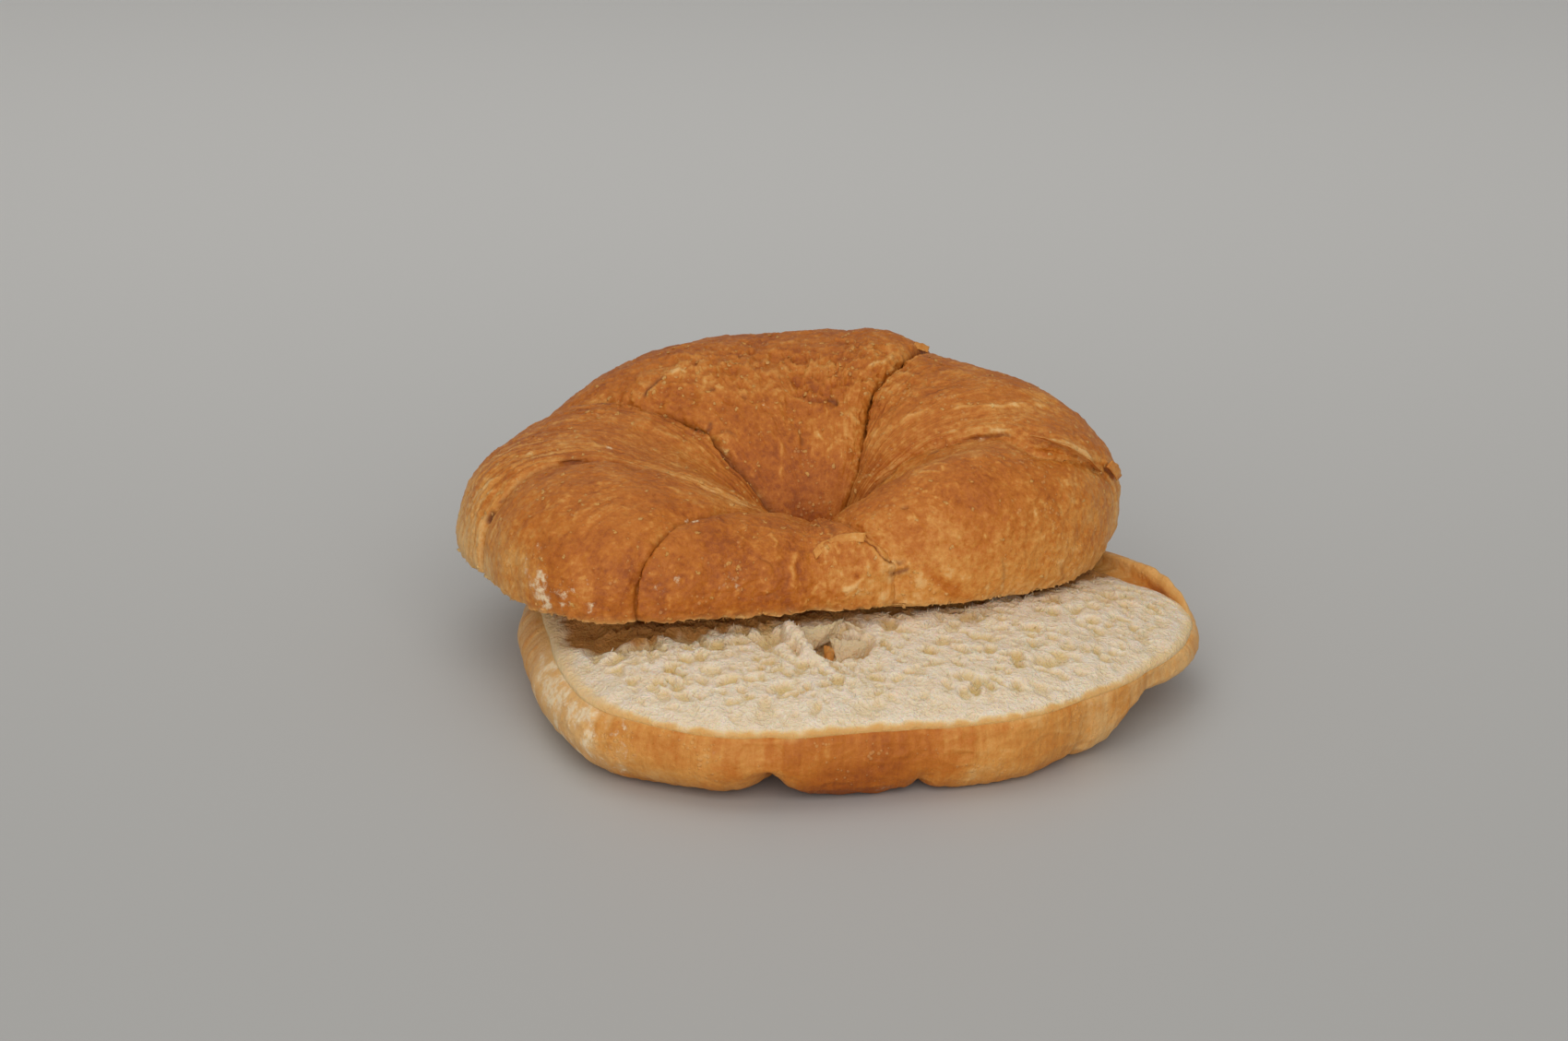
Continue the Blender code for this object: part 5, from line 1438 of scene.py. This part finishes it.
def make_top_crumb():
    """Crumb of the top half, with its relief on the lower side."""
    u, v = disc_grid(TOP_CRUMB_SIDE)
    out = np.hypot(u, v)
    angle = np.arctan2(v, u) % (2 * math.pi)
    edge = top_skin[0] - top_outward[0] * (TOP_CRUST - 0.3)
    turn = np.arctan2(edge[:, 1] - TOP_NAVEL[1], edge[:, 0] - TOP_NAVEL[0]) % (2 * math.pi)
    order = np.argsort(turn)
    reach = np.hypot(edge[:, 0] - TOP_NAVEL[0], edge[:, 1] - TOP_NAVEL[1])[order]
    radius = out * np.interp(angle, turn[order], reach, period=2 * math.pi)
    x = TOP_NAVEL[0] + radius * np.cos(angle)
    y = TOP_NAVEL[1] + radius * np.sin(angle)
    relief, bubble = crumb_relief(x, y, smooth((1 - out) * 6), 80, 160)
    z = TOP_CRUMB_RECESS + np.maximum(-0.9 * relief, -0.4) * smooth((1 - out) * 25)
    face = np.stack([x, y, z], axis=-1)
    loop = outer_loop(np.arange(len(face)).reshape(TOP_CRUMB_SIDE, -1))
    behind = face[loop] + (0, 0, TOP_CRUMB_THICKNESS)
    tip = (*TOP_NAVEL, TOP_CRUMB_RECESS + TOP_CRUMB_THICKNESS)
    # Painted shade: the crumb's rim, seen only in the gap between the halves, is painted warm brown.
    values = dict(bubble=(bubble, 0), edge=(0.7 * np.exp(-(1 - out) * 30), 1),
                  moist=(0.95 * np.exp(-(1 - out) * 9), 1))
    return disc_piece("top_crumb", face, behind, tip, values)


top_crumb = make_top_crumb()
lay_in_place(top_crumb, CUT_TURN)
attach(top_crumb, "root")
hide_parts("top_half")

# ---------------------------------------------------------------------------------------------
# Floor, light and camera. A pale surface with painted light, darker in front and lighter far
# behind, a large soft light from above and a weaker one from the front, and the camera at the
# height and distance that the picture was taken from.
# ---------------------------------------------------------------------------------------------

FLOOR_REACH = 6.0                # metres from the middle of the floor to each of its sides
# Painted light: the floor is darker in front and lighter far behind.
FLOOR_PAINTED_LIGHT = ((0.41, 0.408, 0.40), (0.82, 0.815, 0.805))    # in front and far behind
# Square soft lights, as (name, place in metres, size in metres, power in watts, colour).
LIGHTS = [
    ("overhead light", (-0.12, 0.10, 0.75), 0.6, 1.0, (1.0, 0.985, 0.96)),
    ("front light", (0.0, -0.70, 0.40), 0.9, 4.2, (1.0, 0.98, 0.95)),
]
LIT_POINT = (0, 0, 0.02)         # point of the croissant that the lights are turned to, in metres
ROOM_COLOUR = (0.44, 0.435, 0.42, 1.0)
ROOM_STRENGTH = 0.86
CAMERA_AIM = (-7.9, 78.2, 0.0)   # point of the surface in the middle of the picture
CAMERA_DISTANCE = 670.2          # from that point
CAMERA_PITCH = 20.61             # degrees down from level
CAMERA_ROLL = 0.99               # degrees about the camera's own axis
CAMERA_LENS = 70.0


def make_floor():
    """Pale surface under the croissant and far behind it, with painted light: darker in front, lighter
    behind.
    """
    mesh = bpy.data.meshes.new("floor")
    corners = [(x * FLOOR_REACH, y * FLOOR_REACH, 0) for x, y in ((-1, -1), (1, -1), (1, 1), (-1, 1))]
    mesh.from_pydata(corners, [], [(0, 1, 2, 3)])
    material, tree, shader, place = new_material("pale surface")
    back = spread(tree, add(tree, "SeparateXYZ", Vector=place).outputs["Y"], -0.3, 0.6)
    feed(tree, shader, Base_Color=mixed(tree, back, *FLOOR_PAINTED_LIGHT), Roughness=0.5)
    mesh.materials.append(material)
    floor = bpy.data.objects.new("floor", mesh)
    bpy.context.scene.collection.objects.link(floor)


def make_light(name, place, size, power, colour):
    """Square soft light that shines on the croissant."""
    data = bpy.data.lights.new(name, "AREA")
    data.size = size
    data.energy = power
    data.color = colour
    light = bpy.data.objects.new(name, data)
    light.location = place
    light.rotation_euler = (Vector(LIT_POINT) - Vector(place)).to_track_quat("-Z", "Y").to_euler()
    bpy.context.scene.collection.objects.link(light)


def make_camera():
    """Camera that looks along +Y and down, turned a little about its own axis."""
    pitch, roll = math.radians(CAMERA_PITCH), math.radians(CAMERA_ROLL)
    forward = Vector((0, math.cos(pitch), -math.sin(pitch)))
    up = Vector((1, 0, 0)).cross(forward)
    right = math.cos(roll) * Vector((1, 0, 0)) + math.sin(roll) * up
    up = right.cross(forward)
    place = Vector(CAMERA_AIM) * MM - forward * CAMERA_DISTANCE * MM
    data = bpy.data.cameras.new("camera")
    data.lens = CAMERA_LENS
    data.clip_start = 0.01
    camera = bpy.data.objects.new("camera", data)
    camera.matrix_world = Matrix.Translation(place) @ Matrix((right, up, -forward)).transposed().to_4x4()
    bpy.context.scene.collection.objects.link(camera)
    bpy.context.scene.camera = camera


make_floor()
for light in LIGHTS:
    make_light(*light)
world = bpy.data.worlds.new("room")
world.use_nodes = True
feed(world.node_tree, world.node_tree.nodes["Background"], Color=ROOM_COLOUR, Strength=ROOM_STRENGTH)
bpy.context.scene.world = world
bpy.context.scene.view_settings.view_transform = "Standard"
make_camera()
